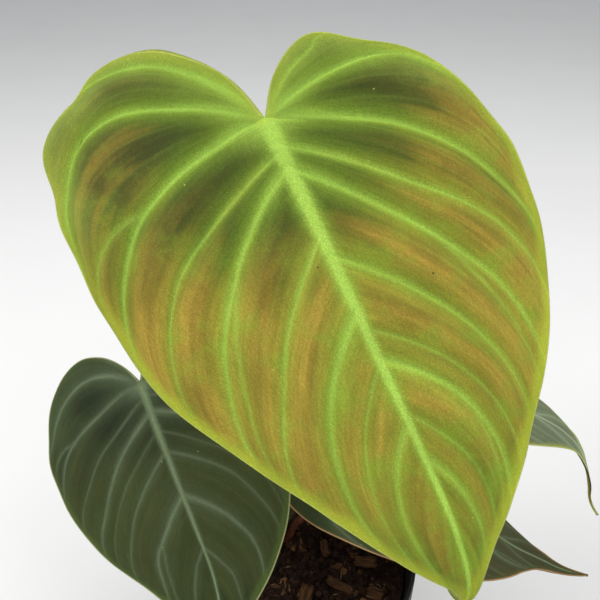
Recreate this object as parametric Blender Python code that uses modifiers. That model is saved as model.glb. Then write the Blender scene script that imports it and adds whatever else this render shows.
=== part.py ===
"""Potted philodendron: a velvet-leaved climber in a plain round nursery pot.

Metres, +Z up, origin at the middle of the pot's underside, front of the plant towards -Y.
A leaf blade is worked out flat first, across and along its midrib, and is then bent over the midrib's
own curve in space. Its mesh lines run from the midrib to the margin, the way the side veins do.
"""

import math

import bmesh
import bpy
import numpy as np
from mathutils import Matrix, Vector, noise

MM = 0.001
GAP = 0.3 * MM                   # clear gap between neighbouring pieces

# --- pot ---
POT_HEIGHT = 110 * MM
RIM_RADIUS = 60 * MM
RIM_LEDGE = 2.5 * MM             # how far the rim band stands out from the wall
BASE_RADIUS = 43 * MM
WALL = 1.6 * MM
FLOOR = 2.2 * MM
RIM_BAND = 14 * MM               # height of the stiff band round the top
DRAIN_HOLES = 6
DRAIN_RADIUS = 4 * MM
DRAIN_CIRCLE = 27 * MM

# --- potting mix ---
SOIL_BELOW_RIM = 11 * MM         # from the rim down to the mean surface
SOIL_LEVEL = POT_HEIGHT - SOIL_BELOW_RIM
SOIL_BUMP = 2.0 * MM
SOIL_LUMP_SIZE = 14 * MM
CHIP_COUNT = 14

# --- stem ---
STEM_X = -9 * MM
STEM_Y = 14 * MM
STEM_RADIUS = 5 * MM
STEM_DEPTH = 45 * MM             # length below the surface
STEM_HEIGHT = 49 * MM            # above the mix
STEM_LEAN = 3 * MM               # how far the stem wanders sideways

# --- leaves ---
BLADE_THICKNESS = 0.8 * MM
BLADE_STATIONS = 30              # mesh lines from midrib to margin on each side
BLADE_ROWS = 6                   # faces from midrib to margin
FAN = 0.34                       # share of the stations that start at the leaf's joint

# Half outlines from the notch to the tip, in half widths across and lengths along.
NEW_LEFT = ((0.010, -0.005), (0.038, -0.066), (0.10, -0.137), (0.24, -0.214), (0.425, -0.269), (0.61, -0.277),
            (0.75, -0.236), (0.89, -0.209), (0.97, -0.159), (1.0, -0.066), (0.995, 0.10), (0.963, 0.209),
            (0.875, 0.374), (0.675, 0.527), (0.51, 0.637), (0.30, 0.786), (0.163, 0.863), (0.063, 0.907),
            (0.022, 0.94), (0.008, 1.0))
NEW_RIGHT = ((0.010, -0.005), (0.10, -0.071), (0.23, -0.118), (0.35, -0.126), (0.51, -0.082), (0.76, 0.008),
             (0.887, 0.165), (0.893, 0.269), (0.844, 0.374), (0.756, 0.484), (0.61, 0.593), (0.41, 0.703),
             (0.238, 0.786), (0.106, 0.857), (0.05, 0.901), (0.021, 0.94), (0.008, 1.0))
OLD_SIDE = ((0.010, -0.005), (0.10, -0.10), (0.27, -0.19), (0.48, -0.235), (0.70, -0.20), (0.90, -0.09),
            (1.0, 0.08), (0.99, 0.25), (0.90, 0.43), (0.73, 0.60), (0.51, 0.73), (0.31, 0.82),
            (0.165, 0.875), (0.08, 0.915), (0.043, 0.95), (0.03, 0.98), (0.010, 1.0))
FRONT_SIDE = ((0.010, -0.005), (0.10, -0.10), (0.27, -0.19), (0.48, -0.235), (0.70, -0.20), (0.90, -0.09),
              (1.0, 0.08), (1.0, 0.25), (0.93, 0.40), (0.78, 0.53), (0.56, 0.64), (0.34, 0.72),
              (0.20, 0.78), (0.13, 0.84), (0.085, 0.90), (0.05, 0.95), (0.03, 0.98), (0.010, 1.0))
BACK_SIDE = ((0.010, -0.005), (0.10, -0.10), (0.27, -0.19), (0.48, -0.235), (0.70, -0.20), (0.90, -0.09),
             (1.0, 0.05), (0.97, 0.17), (0.86, 0.30), (0.66, 0.43), (0.44, 0.54), (0.25, 0.63),
             (0.12, 0.70), (0.07, 0.76), (0.055, 0.85), (0.04, 0.93), (0.03, 0.98), (0.010, 1.0))

# Side veins: station, share of the margin's length where the vein ends, bulge towards the base and
# place of the bulge, both in shares of the straight line from end to end.
NEW_LEFT_VEINS = ((0.14, 0.25, 0.36, 0.70), (0.26, 0.50, 1.10, 0.62), (0.34, 0.60, 0.54, 0.62),
                  (0.388, 0.667, 0.42, 0.66), (0.409, 0.738, 0.33, 0.57), (0.50, 0.777, 0.21, 0.61),
                  (0.596, 0.879, 0.35, 0.52), (0.731, 0.945, 0.36, 0.45), (0.90, 0.965, 0.12, 0.50))
NEW_RIGHT_VEINS = ((0.10, 0.149, 0.14, 0.70), (0.22, 0.49, 0.80, 0.46), (0.30, 0.58, 0.41, 0.66),
                   (0.378, 0.612, 0.24, 0.75), (0.411, 0.694, 0.23, 0.72), (0.527, 0.767, 0.31, 0.69),
                   (0.618, 0.80, 0.33, 0.58), (0.655, 0.85, 0.41, 0.57), (0.774, 0.928, 0.25, 0.45),
                   (0.90, 0.965, 0.12, 0.50))
OLD_VEINS = ((0.12, 0.16, 0.14, 0.70), (0.22, 0.42, 0.80, 0.50), (0.30, 0.54, 0.45, 0.66),
             (0.38, 0.62, 0.30, 0.66), (0.42, 0.69, 0.30, 0.66), (0.52, 0.765, 0.30, 0.64),
             (0.624, 0.85, 0.35, 0.56), (0.75, 0.92, 0.28, 0.50), (0.90, 0.955, 0.10, 0.50))

# Each leaf: where its blade joins its stalk (all heights are above the mix), the way the midrib sets off
# (degrees: heading from +X, drop below level, roll), tables of (share of length, degrees) for how it
# bends down and swings sideways, the curvature across, and where its stalk leaves the stem and passes.
LEAVES = {
    "newest": {
        "joint": (-9.1 * MM, 18.8 * MM, 220.9 * MM), "heading": -60, "drop": 36, "roll": -25,
        "length": 182 * MM, "half_width": 80 * MM, "cup": 3.4,
        "bend": ((-0.25, -6), (0, 0), (0.78, 15), (0.87, 22), (0.92, 38), (0.955, 85), (0.98, 140), (1.02, 185)),
        "swing": ((0, 0), (0.70, 0), (0.84, -7), (0.90, -18), (0.95, -42), (1.0, -85)),
        "outline": (NEW_LEFT, NEW_RIGHT), "veins": (NEW_LEFT_VEINS, NEW_RIGHT_VEINS),
        "stalk_height": 23 * MM, "stalk_direction": 130, "stalk_radius": 2.6 * MM,
        "stalk_way": ((-16 * MM, 27 * MM, 91 * MM), (-16 * MM, 34 * MM, 161 * MM)),
        "colour": (0.24, 0.24, 0.06)},
    "left": {
        "joint": (-66 * MM, 14 * MM, 108 * MM), "heading": -63, "drop": 20, "roll": -30,
        "length": 119 * MM, "half_width": 52 * MM, "cup": 2.0,
        "bend": ((-0.25, -6), (0, 0), (0.6, 30), (0.85, 8), (1.02, 0)), "swing": ((0, 0), (1, -18)),
        "outline": (OLD_SIDE, OLD_SIDE), "veins": (OLD_VEINS, OLD_VEINS),
        "stalk_height": 13 * MM, "stalk_direction": 205, "stalk_radius": 2.2 * MM,
        "stalk_way": ((-27 * MM, 20 * MM, 51 * MM), (-52 * MM, 28 * MM, 89 * MM)),
        "colour": (0.027, 0.042, 0.014)},
    "front": {
        "joint": (26 * MM, 5 * MM, 58 * MM), "heading": -11, "drop": 12, "roll": 10,
        "length": 122 * MM, "half_width": 37 * MM, "cup": 6.0,
        "bend": ((-0.25, -6), (0, 0), (0.6, 15), (0.85, 14), (1.02, -24)), "swing": ((0, 0), (1, 0)),
        "outline": (FRONT_SIDE, FRONT_SIDE), "veins": (OLD_VEINS, OLD_VEINS),
        "stalk_height": 5 * MM, "stalk_direction": -40, "stalk_radius": 2.0 * MM,
        "stalk_way": ((5 * MM, 7 * MM, 26 * MM), (17 * MM, 8 * MM, 47 * MM)),
        "colour": (0.031, 0.034, 0.014)},
    "back": {
        "joint": (65 * MM, 52 * MM, 78 * MM), "heading": -10, "drop": 8, "roll": 6,
        "length": 136 * MM, "half_width": 34 * MM, "cup": 6.0,
        "bend": ((-0.25, -6), (0, 0), (0.5, 18), (0.60, 26), (0.68, 54), (0.88, 66), (1.02, 44)),
        "swing": ((0, 0), (1, -6)),
        "outline": (BACK_SIDE, BACK_SIDE), "veins": (OLD_VEINS, OLD_VEINS),
        "stalk_height": 9 * MM, "stalk_direction": 60, "stalk_radius": 2.0 * MM,
        "stalk_way": ((2 * MM, 40 * MM, 43 * MM), (34 * MM, 60 * MM, 73 * MM)),
        "colour": (0.10, 0.11, 0.065)},
}
STALK_FOOT = 12 * MM             # length over which a stalk runs up beside the stem
STALK_TAPER = 0.8                # stalk radius at the blade, as a share of that at the stem


def start_scene(name):
    """Empty the scene and return the object's own collection and the one for cutters."""
    for old in list(bpy.data.objects):
        bpy.data.objects.remove(old, do_unlink=True)
    made = []
    for title in (name, name + "_cutters"):
        collection = bpy.data.collections.new(title)
        bpy.context.scene.collection.children.link(collection)
        made.append(collection)
    return made


PLANT, CUTTERS = start_scene("potted_philodendron")


def material(name, colour, roughness):
    made = bpy.data.materials.new(name)
    made.use_nodes = True
    shader = made.node_tree.nodes["Principled BSDF"]
    shader.inputs["Base Color"].default_value = (*colour, 1)
    shader.inputs["Roughness"].default_value = roughness
    shader.inputs["Metallic"].default_value = 0
    made.diffuse_color = (*colour, 1)
    return made


def add_mesh(name, mesh, look, collection=PLANT):
    thing = bpy.data.objects.new(name, mesh)
    collection.objects.link(thing)
    if look:
        mesh.materials.append(look)
    return thing


def mesh_from(name, vertices, faces):
    mesh = bpy.data.meshes.new(name)
    mesh.from_pydata(vertices, [], faces)
    mesh.update()
    return mesh


def as_mesh(thing):
    """Turn an object with modifiers, or a curve with caps, into a plain closed mesh object."""
    look = thing.data.materials[0] if thing.data.materials else None
    graph = bpy.context.evaluated_depsgraph_get()
    mesh = bpy.data.meshes.new_from_object(thing.evaluated_get(graph))
    shape = bmesh.new()
    shape.from_mesh(mesh)
    bmesh.ops.remove_doubles(shape, verts=shape.verts, dist=0.001 * MM)
    bmesh.ops.recalc_face_normals(shape, faces=shape.faces)
    shape.to_mesh(mesh)
    shape.free()
    name = thing.name
    place = thing.matrix_world.copy()
    bpy.data.objects.remove(thing)
    mesh.materials.clear()
    made = add_mesh(name, mesh, look)
    made.matrix_world = place
    return made


def lathe(name, profile, steps, look):
    """Turn a closed (radius, height) outline about Z."""
    vertices = [(radius, 0, height) for radius, height in profile]
    count = len(vertices)
    mesh = bpy.data.meshes.new(name)
    mesh.from_pydata(vertices, [(i, i + 1) for i in range(count - 1)], [])
    thing = add_mesh(name, mesh, look)
    screw = thing.modifiers.new("turn", "SCREW")
    screw.steps = steps
    screw.render_steps = steps
    screw.use_merge_vertices = True
    screw.merge_threshold = 0.0001 * MM
    return thing


def tube(name, points, radii, look, sides=2, steps=5, collection=PLANT):
    """A closed round tube along a smooth curve through the points."""
    curve = bpy.data.curves.new(name, "CURVE")
    curve.dimensions = "3D"
    curve.bevel_depth = 1.0
    curve.bevel_resolution = sides
    curve.resolution_u = steps
    curve.use_fill_caps = True
    spline = curve.splines.new("BEZIER")
    spline.bezier_points.add(len(points) - 1)
    for knot, point, radius in zip(spline.bezier_points, points, radii):
        knot.co = point
        knot.radius = radius
        knot.handle_left_type = "AUTO"
        knot.handle_right_type = "AUTO"
    thing = bpy.data.objects.new(name, curve)
    collection.objects.link(thing)
    if look:
        curve.materials.append(look)
    return thing


def cut(thing, cutter):
    cutter.hide_render = True
    cutter.display_type = "WIRE"
    boolean = thing.modifiers.new("cut_" + cutter.name, "BOOLEAN")
    boolean.operation = "DIFFERENCE"
    boolean.solver = "EXACT"
    boolean.object = cutter


# --- pot and potting mix ---

def build_pot():
    plastic = material("black_plastic", (0.012, 0.012, 0.013), 0.42)
    band_foot = POT_HEIGHT - RIM_BAND
    wall_top = RIM_RADIUS - RIM_LEDGE
    lip = 0.8 * MM
    profile = [(0, 0), (BASE_RADIUS - lip, 0), (BASE_RADIUS, lip), (wall_top, band_foot),
               (RIM_RADIUS - lip, band_foot), (RIM_RADIUS, band_foot + lip), (RIM_RADIUS, POT_HEIGHT - lip),
               (RIM_RADIUS - lip, POT_HEIGHT), (inner_radius(POT_HEIGHT), POT_HEIGHT),
               (inner_radius(FLOOR), FLOOR), (0, FLOOR)]
    pot = lathe("nursery_pot", profile[::-1], 48, plastic)
    for number in range(DRAIN_HOLES):
        angle = 2 * math.pi * number / DRAIN_HOLES
        middle = (DRAIN_CIRCLE * math.cos(angle), DRAIN_CIRCLE * math.sin(angle), FLOOR / 2)
        bpy.ops.mesh.primitive_cylinder_add(vertices=16, radius=DRAIN_RADIUS, depth=3 * FLOOR, location=middle)
        cutter = bpy.context.object
        cutter.name = f"drain_{number + 1}"
        for holder in cutter.users_collection:
            holder.objects.unlink(cutter)
        CUTTERS.objects.link(cutter)
        cut(pot, cutter)
    return pot


def inner_radius(height):
    """Radius of the pot's inner wall, which is one straight taper."""
    share = height / (POT_HEIGHT - RIM_BAND)
    return BASE_RADIUS - WALL + share * (RIM_RADIUS - RIM_LEDGE - BASE_RADIUS)


def soil_height(x, y):
    """Surface of the potting mix, lumpy and a little lower at the wall."""
    spot = Vector((x / SOIL_LUMP_SIZE, y / SOIL_LUMP_SIZE, 3.7))
    out = min(1.0, math.hypot(x, y) / RIM_RADIUS)
    return SOIL_LEVEL + SOIL_BUMP * noise.noise(spot) - 1.5 * MM * out ** 3


def build_soil():
    look = material("potting_mix", (0.018, 0.011, 0.008), 0.95)
    foot = FLOOR + GAP
    rings = 9
    edge = inner_radius(SOIL_LEVEL - 3 * MM) - 2 * GAP
    top = [(edge * ring / rings, SOIL_LEVEL) for ring in range(rings + 1)]
    profile = top + [(inner_radius(foot) - 2 * GAP, foot), (0, foot)]
    soil = as_mesh(lathe("potting_mix", profile, 40, look))
    for vertex in soil.data.vertices:
        if vertex.co.z > SOIL_LEVEL - MM:
            vertex.co.z = soil_height(vertex.co.x, vertex.co.y)
    socket = tube("stem_socket", stem_path(), [STEM_RADIUS + GAP * 2] * len(stem_path()), None, collection=CUTTERS)
    socket = as_mesh(socket)
    PLANT.objects.unlink(socket)
    CUTTERS.objects.link(socket)
    cut(soil, socket)
    return soil


def build_chips():
    """Flakes of bark that lie on the mix, each a bevelled box with its own size and turn."""
    look = material("bark", (0.13, 0.075, 0.035), 0.9)
    rng = np.random.default_rng(12)
    spots = []
    tries = 0
    while len(spots) < CHIP_COUNT and tries < 4000:
        tries += 1
        angle = rng.uniform(0, 2 * math.pi)
        reach = math.sqrt(rng.uniform(0.02, 1)) * 46 * MM
        x = reach * math.cos(angle)
        y = reach * math.sin(angle)
        size = Vector((rng.uniform(9, 15), rng.uniform(5, 8), rng.uniform(2.2, 3.4))) * MM
        far = size.length / 2 + GAP
        if math.hypot(x - STEM_X, y - STEM_Y) < far + 2.6 * STEM_RADIUS:
            continue
        if any(math.hypot(x - other[0], y - other[1]) < far + other[2] for other in spots):
            continue
        spots.append((x, y, far))
        turn = rng.uniform(0, math.pi)
        bpy.ops.mesh.primitive_cube_add(size=1)
        chip = bpy.context.object
        chip.name = f"bark_chip_{len(spots):02d}"
        chip.data.transform(Matrix.Diagonal((*size, 1)))
        for vertex in chip.data.vertices:
            vertex.co.x *= rng.uniform(0.72, 1)
            vertex.co.y *= rng.uniform(0.72, 1)
        bevel = chip.modifiers.new("worn", "BEVEL")
        bevel.width = 0.25 * size.z
        bevel.segments = 1
        chip.data.materials.append(look)
        nearby = [soil_height(x + far * math.cos(a), y + far * math.sin(a)) for a in np.linspace(0, 2 * math.pi, 12)]
        rest = max(nearby + [soil_height(x, y)]) + size.z / 2 + GAP
        chip.location = (x, y, rest)
        chip.rotation_euler = (0, 0, turn)
        for holder in chip.users_collection:
            holder.objects.unlink(chip)
        PLANT.objects.link(chip)


# --- stem, sheaths and roots ---

def above_mix(point):
    """A point whose height is given above the mean surface of the mix."""
    return Vector(point) + Vector((0, 0, SOIL_LEVEL))


def stem_point(rise):
    """Middle of the stem at a height above the mix, as it wanders from leaf to leaf."""
    side = STEM_LEAN * math.sin(math.pi * rise / STEM_HEIGHT)
    return above_mix((STEM_X + side, STEM_Y - 0.5 * side, rise))


def stem_path():
    rises = (-STEM_DEPTH, -0.4 * STEM_DEPTH, 4 * MM, 0.4 * STEM_HEIGHT, STEM_HEIGHT)
    return [stem_point(rise) for rise in rises]


def build_stem():
    look = material("green_stem", (0.09, 0.12, 0.035), 0.6)
    radii = [STEM_RADIUS, STEM_RADIUS, STEM_RADIUS, 0.95 * STEM_RADIUS, 0.7 * STEM_RADIUS]
    return tube("stem", stem_path(), radii, look, sides=4, steps=6)


def beside_stem(rise, direction, distance):
    angle = math.radians(direction)
    return stem_point(rise) + Vector((math.cos(angle), math.sin(angle), 0)) * distance


def build_sheath(name, direction, foot, height, half_angle, look):
    """A dry bract that still clasps the stem: part of a cone that narrows to a point."""
    columns = 8
    rows = 6
    vertices = []
    for row in range(rows + 1):
        share = row / rows
        spread = half_angle * (1 - share ** 2) + 2
        reach = STEM_RADIUS + 2.6 * GAP + 4 * MM * share ** 2
        middle = stem_point(foot + height * share)
        for column in range(columns + 1):
            angle = math.radians(direction + spread * (2 * column / columns - 1))
            vertices.append(middle + Vector((math.cos(angle), math.sin(angle), 0)) * reach)
    wide = columns + 1
    faces = [(r * wide + c, r * wide + c + 1, (r + 1) * wide + c + 1, (r + 1) * wide + c)
             for r in range(rows) for c in range(columns)]
    sheath = add_mesh(name, mesh_from(name, vertices, faces), look)
    shell = sheath.modifiers.new("skin", "SOLIDIFY")
    shell.thickness = 0.5 * MM
    shell.offset = 1
    return sheath


def build_growth():
    """Papery sheaths, the closed bud of the next leaf and two aerial roots."""
    dry = material("dry_sheath", (0.16, 0.055, 0.025), 0.8)
    build_sheath("dry_sheath_front", -88, 3 * MM, 26 * MM, 20, dry)
    build_sheath("dry_sheath_back", 150, 4 * MM, 22 * MM, 14, dry)
    bud = material("bud", (0.30, 0.20, 0.09), 0.5)
    tip = stem_point(STEM_HEIGHT)
    points = [tip + Vector((0, 0, 4 * GAP)), tip + Vector((1, -1, 14)) * MM, tip + Vector((3, -2, 30)) * MM]
    tube("bud", points, [2.6 * MM, 2.2 * MM, 0.5 * MM], bud)
    root_look = material("root", (0.20, 0.12, 0.06), 0.8)
    for number, direction in enumerate((-125, 20)):
        start = beside_stem(20 * MM, direction, STEM_RADIUS + 1.2 * MM + GAP)
        out = beside_stem(15 * MM, direction, 2.2 * STEM_RADIUS)
        down = beside_stem(8 * MM, direction, 2.9 * STEM_RADIUS)
        foot = beside_stem(8 * MM, direction, 3.1 * STEM_RADIUS)
        foot.z = soil_height(foot.x, foot.y) + 1.2 * MM
        tube(f"aerial_root_{number + 1}", [start, out, down, foot], [1.2 * MM, 1.2 * MM, MM, 0.6 * MM], root_look)


# --- leaves ---

def smooth_curve(points, count):
    """Even steps along a smooth curve that passes through the points."""
    knots = np.array(points, float)
    ends = np.vstack([2 * knots[0] - knots[1], knots, 2 * knots[-1] - knots[-2]])
    share = np.linspace(0, 1, 16, endpoint=False)[:, None]
    pieces = []
    for a, b, c, d in zip(ends, ends[1:], ends[2:], ends[3:]):
        pieces.append(b + 0.5 * share * (c - a + share * (2 * a - 5 * b + 4 * c - d
                                                          + share * (3 * b - a - 3 * c + d))))
    path = np.vstack(pieces + [knots[-1:]])
    run = np.concatenate([[0], np.cumsum(np.linalg.norm(np.diff(path, axis=0), axis=1))])
    even = np.linspace(0, run[-1], count)
    return np.stack([np.interp(even, run, path[:, axis]) for axis in range(path.shape[1])], -1)


class Blade:
    """A leaf blade: a flat outline with a fan of side veins, bent over a midrib that curves in space."""

    def __init__(self, leaf):
        self.length = leaf["length"]
        self.cup = leaf["cup"]
        self.margins = [smooth_curve(np.array(half) * (leaf["half_width"], self.length), 400)
                        for half in leaf["outline"]]
        first = (0, 0, 0, 0.6)
        last = (1, 1, 0, 0.5)
        self.veins = [np.array((first, *veins, last)) for veins in leaf["veins"]]
        self.follow_midrib(leaf)

    def follow_midrib(self, leaf):
        """Work out the midrib's place and directions in small steps both ways from the joint."""
        heading, drop, roll = (math.radians(leaf[key]) for key in ("heading", "drop", "roll"))
        level = Vector((math.cos(heading), math.sin(heading), 0))
        along = level * math.cos(drop) - Vector((0, 0, 1)) * math.sin(drop)
        across = Matrix.Rotation(-roll, 3, along) @ Vector((math.sin(heading), -math.cos(heading), 0))
        step = 0.5 * MM
        self.distances = np.arange(-0.32 * self.length, 1.02 * self.length, step)
        start = int(np.argmin(np.abs(self.distances)))
        bend = self.angles(leaf["bend"])
        swing = self.angles(leaf["swing"])
        self.frames = np.zeros((len(self.distances), 4, 3))
        for way in (1, -1):
            place, ahead, side = above_mix(leaf["joint"]), along.copy(), across.copy()
            before = start
            last = len(self.distances) if way > 0 else -1
            for now in range(start, last, way):
                down = Matrix.Rotation(bend[before] - bend[now], 3, side)
                ahead = down @ ahead
                turn = Matrix.Rotation(swing[now] - swing[before], 3, side.cross(ahead))
                ahead = turn @ ahead
                side = turn @ side
                if now != before:
                    place = place + ahead * (step * way)
                self.frames[now] = (place, ahead, side, side.cross(ahead))
                before = now

    def angles(self, table):
        shares, degrees = zip(*table)
        return np.radians(np.interp(self.distances / self.length, shares, degrees))

    def midrib(self, distance):
        """Place, direction ahead, direction across and upward normal at distances from the joint."""
        flat = self.frames.reshape(len(self.distances), 12)
        found = np.stack([np.interp(distance, self.distances, flat[:, column]) for column in range(12)], -1)
        return np.moveaxis(found.reshape(*np.shape(distance), 4, 3), -2, 0)

    def rib(self, half, station, share):
        """Flat point at a share of the way from midrib to margin along the vein line at a station."""
        sign = (1, -1)[half]
        ends, bulge, lean = (np.interp(station, self.veins[half][:, 0], self.veins[half][:, column])
                             for column in (1, 2, 3))
        starts = np.clip((station - FAN) / (1 - FAN), 0, 1) * self.length
        origin = np.stack([np.zeros_like(starts), starts], -1)
        margin = self.margins[half]
        where = np.linspace(0, 1, len(margin))
        tip = np.stack([sign * np.interp(ends, where, margin[:, 0]), np.interp(ends, where, margin[:, 1])], -1)
        line = tip - origin
        towards_base = np.stack([line[..., 1], -line[..., 0]], -1) * sign
        knee = origin + line * lean[..., None] + towards_base * bulge[..., None]
        share = share[..., None]
        return (1 - share) ** 2 * origin + 2 * share * (1 - share) * knee + share ** 2 * tip

    def in_space(self, flat):
        """Bend flat points over the midrib, with an even curve across the blade."""
        place, ahead, across, up = self.midrib(flat[..., 1])
        angle = self.cup * flat[..., 0]
        return (place + across * (np.sin(angle) / self.cup)[..., None]
                - up * ((1 - np.cos(angle)) / self.cup)[..., None])


def build_blade(name, leaf, roughness=0.65):
    blade = Blade(leaf)
    stations = np.linspace(0, 1, BLADE_STATIONS + 1)
    shares = np.linspace(0, 1, BLADE_ROWS + 1)
    grid = np.meshgrid(stations, shares, indexing="ij")
    vertices = []
    faces = []
    for half in (0, 1):
        points = blade.in_space(blade.rib(half, *grid)).reshape(-1, 3)
        first = len(vertices)
        vertices.extend(points.tolist())
        wide = BLADE_ROWS + 1
        for s in range(BLADE_STATIONS):
            for r in range(BLADE_ROWS):
                corner = first + s * wide + r
                face = (corner, corner + 1, corner + wide + 1, corner + wide)
                faces.append(face if half else face[::-1])
    shape = bmesh.new()
    shape.from_mesh(mesh_from(name, vertices, faces))
    bmesh.ops.remove_doubles(shape, verts=shape.verts, dist=0.02 * MM)
    mesh = bpy.data.meshes.new(name)
    shape.to_mesh(mesh)
    shape.free()
    thing = add_mesh(name, mesh, material(name, leaf["colour"], roughness))
    skin = thing.modifiers.new("thickness", "SOLIDIFY")
    skin.thickness = BLADE_THICKNESS
    skin.offset = 0
    return blade


def build_stalk(name, leaf, blade, look):
    """The stalk runs up beside the stem, then out to the underside of the blade's joint."""
    radius = leaf["stalk_radius"]
    beside = STEM_RADIUS + radius + GAP
    foot = beside_stem(leaf["stalk_height"], leaf["stalk_direction"], beside)
    clear = beside_stem(leaf["stalk_height"] + STALK_FOOT, leaf["stalk_direction"], beside + 0.4 * MM)
    joint, ahead, _, up = (Vector(part) for part in blade.midrib(np.array(0.0)))
    head = joint - up * (BLADE_THICKNESS / 2 + GAP + 0.2 * MM)
    neck = head - up * (2.5 * radius) - ahead * (0.4 * radius)
    points = [foot, clear, *(above_mix(point) for point in leaf["stalk_way"]), neck, head]
    slim = np.linspace(1, STALK_TAPER, len(points)) * radius
    tube(name, points, slim, look, steps=6)


def build():
    build_pot()
    build_soil()
    build_stem()
    build_growth()
    green = material("green_stalk", (0.12, 0.17, 0.04), 0.55)
    for title, leaf in LEAVES.items():
        blade = build_blade(f"{title}_leaf", leaf)
        build_stalk(f"{title}_leaf_stalk", leaf, blade, green)
    build_chips()
    for thing in PLANT.objects:
        if thing.type == "MESH":
            thing.data.shade_smooth()
            thing.data.set_sharp_from_angle(angle=math.radians(40))


build()
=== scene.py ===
"""Potted philodendron: the looks of the plant, its pot and the potting mix.

Each leaf blade is a fine mesh whose lines run along the side veins, so that the veins, the quilting
between them and the colours follow the growth of the leaf. Metres, +Z up, front towards -Y.
"""

import math
from types import SimpleNamespace

import bmesh
import bpy
import numpy as np
from mathutils import Matrix, Vector, noise


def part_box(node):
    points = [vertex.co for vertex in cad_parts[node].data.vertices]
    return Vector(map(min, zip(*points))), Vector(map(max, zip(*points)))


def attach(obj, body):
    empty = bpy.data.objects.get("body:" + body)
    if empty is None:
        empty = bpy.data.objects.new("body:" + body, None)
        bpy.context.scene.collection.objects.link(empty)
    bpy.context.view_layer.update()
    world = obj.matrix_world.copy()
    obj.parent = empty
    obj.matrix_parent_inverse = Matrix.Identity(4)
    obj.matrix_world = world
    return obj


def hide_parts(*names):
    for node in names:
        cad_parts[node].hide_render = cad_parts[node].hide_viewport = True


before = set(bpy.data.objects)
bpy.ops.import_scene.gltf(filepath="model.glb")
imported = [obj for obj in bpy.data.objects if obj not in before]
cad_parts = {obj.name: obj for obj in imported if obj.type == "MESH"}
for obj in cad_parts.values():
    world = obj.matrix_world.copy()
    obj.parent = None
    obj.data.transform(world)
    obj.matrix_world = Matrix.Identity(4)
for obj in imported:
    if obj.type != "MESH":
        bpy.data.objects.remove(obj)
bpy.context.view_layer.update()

MM = 0.001

# --- pot, mix and stem, as the solids have them ---
POT_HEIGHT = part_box("nursery_pot")[1][2]
RIM_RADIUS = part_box("nursery_pot")[1][0]
WALL_TOP_RADIUS = RIM_RADIUS - 2.5 * MM
BASE_RADIUS = RIM_RADIUS - 17 * MM
WALL = 1.6 * MM
FLOOR = 2.2 * MM
RIM_BAND = 14 * MM
DRAIN_HOLES = 6
DRAIN_RADIUS = 4 * MM
DRAIN_CIRCLE = 27 * MM
POT_STEPS = 144
DRAIN_STEPS = 48
MIX_STEPS = 168
BED_STEPS = 96
FLAKE_MESH = 0.4 * MM
FLAKE_TEAR = 1.6 * MM
SOIL_LEVEL = POT_HEIGHT - 11 * MM
SOIL_BUMP = 2.0 * MM
SOIL_LUMP_SIZE = 14 * MM
STEM_X = -9 * MM
STEM_Y = 14 * MM
STEM_RADIUS = 5 * MM
STEM_DEPTH = 45 * MM
STEM_HEIGHT = 49 * MM
STEM_LEAN = 3 * MM
GAP = 0.3 * MM
WELD = 0.01 * MM                 # corners this near each other are one
CURVE_STEPS = 16                 # between two points that a curve passes through

# --- leaf blades ---
FAN = 0.34                       # share of the stations that start at the leaf's joint
LINE_SPACING = 1.25 * MM         # between mesh lines, measured half way to the margin
LEAST_SPACING = 0.12 * MM
BESIDE_VEIN = (-1.4 * MM, -0.7 * MM, -0.3 * MM, 0, 0.3 * MM, 0.7 * MM, 1.4 * MM)
ROWS = 46                        # faces from midrib to margin
MARGIN_STEPS = 600
MIDRIB_STEP = 0.5 * MM
BLADE_THICKNESS = 0.55 * MM
PANEL_REACH = 4.2 * MM           # distance from a vein within which a panel rises
VEIN_STEPS = 48
LEAST_FAINT_GAP = 0.06           # stations between two side veins that have faint ones between them
FAINT_PLACES = (0.36, 0.68)      # shares of that gap

# Half outlines, from the joint round to the tip: shares of the half width and of the length.
NEW_LEFT = ((0.010, -0.005), (0.038, -0.066), (0.10, -0.137), (0.24, -0.214), (0.425, -0.269), (0.61, -0.277),
            (0.75, -0.236), (0.89, -0.209), (0.97, -0.159), (1.0, -0.066), (0.995, 0.10), (0.963, 0.209),
            (0.875, 0.374), (0.675, 0.527), (0.51, 0.637), (0.30, 0.786), (0.163, 0.863), (0.063, 0.907),
            (0.022, 0.94), (0.008, 1.0))
NEW_RIGHT = ((0.010, -0.005), (0.10, -0.071), (0.23, -0.118), (0.35, -0.126), (0.51, -0.082), (0.76, 0.008),
             (0.887, 0.165), (0.893, 0.269), (0.844, 0.374), (0.756, 0.484), (0.61, 0.593), (0.41, 0.703),
             (0.238, 0.786), (0.106, 0.857), (0.05, 0.901), (0.021, 0.94), (0.008, 1.0))
OLD_SIDE = ((0.010, -0.005), (0.10, -0.10), (0.27, -0.19), (0.48, -0.235), (0.70, -0.20), (0.90, -0.09),
            (1.0, 0.08), (0.99, 0.25), (0.90, 0.43), (0.73, 0.60), (0.51, 0.73), (0.31, 0.82),
            (0.165, 0.875), (0.08, 0.915), (0.043, 0.95), (0.03, 0.98), (0.010, 1.0))
FRONT_SIDE = ((0.010, -0.005), (0.10, -0.10), (0.27, -0.19), (0.48, -0.235), (0.70, -0.20), (0.90, -0.09),
              (1.0, 0.08), (1.0, 0.25), (0.93, 0.40), (0.78, 0.53), (0.56, 0.64), (0.34, 0.72),
              (0.20, 0.78), (0.13, 0.84), (0.085, 0.90), (0.05, 0.95), (0.03, 0.98), (0.010, 1.0))
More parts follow.
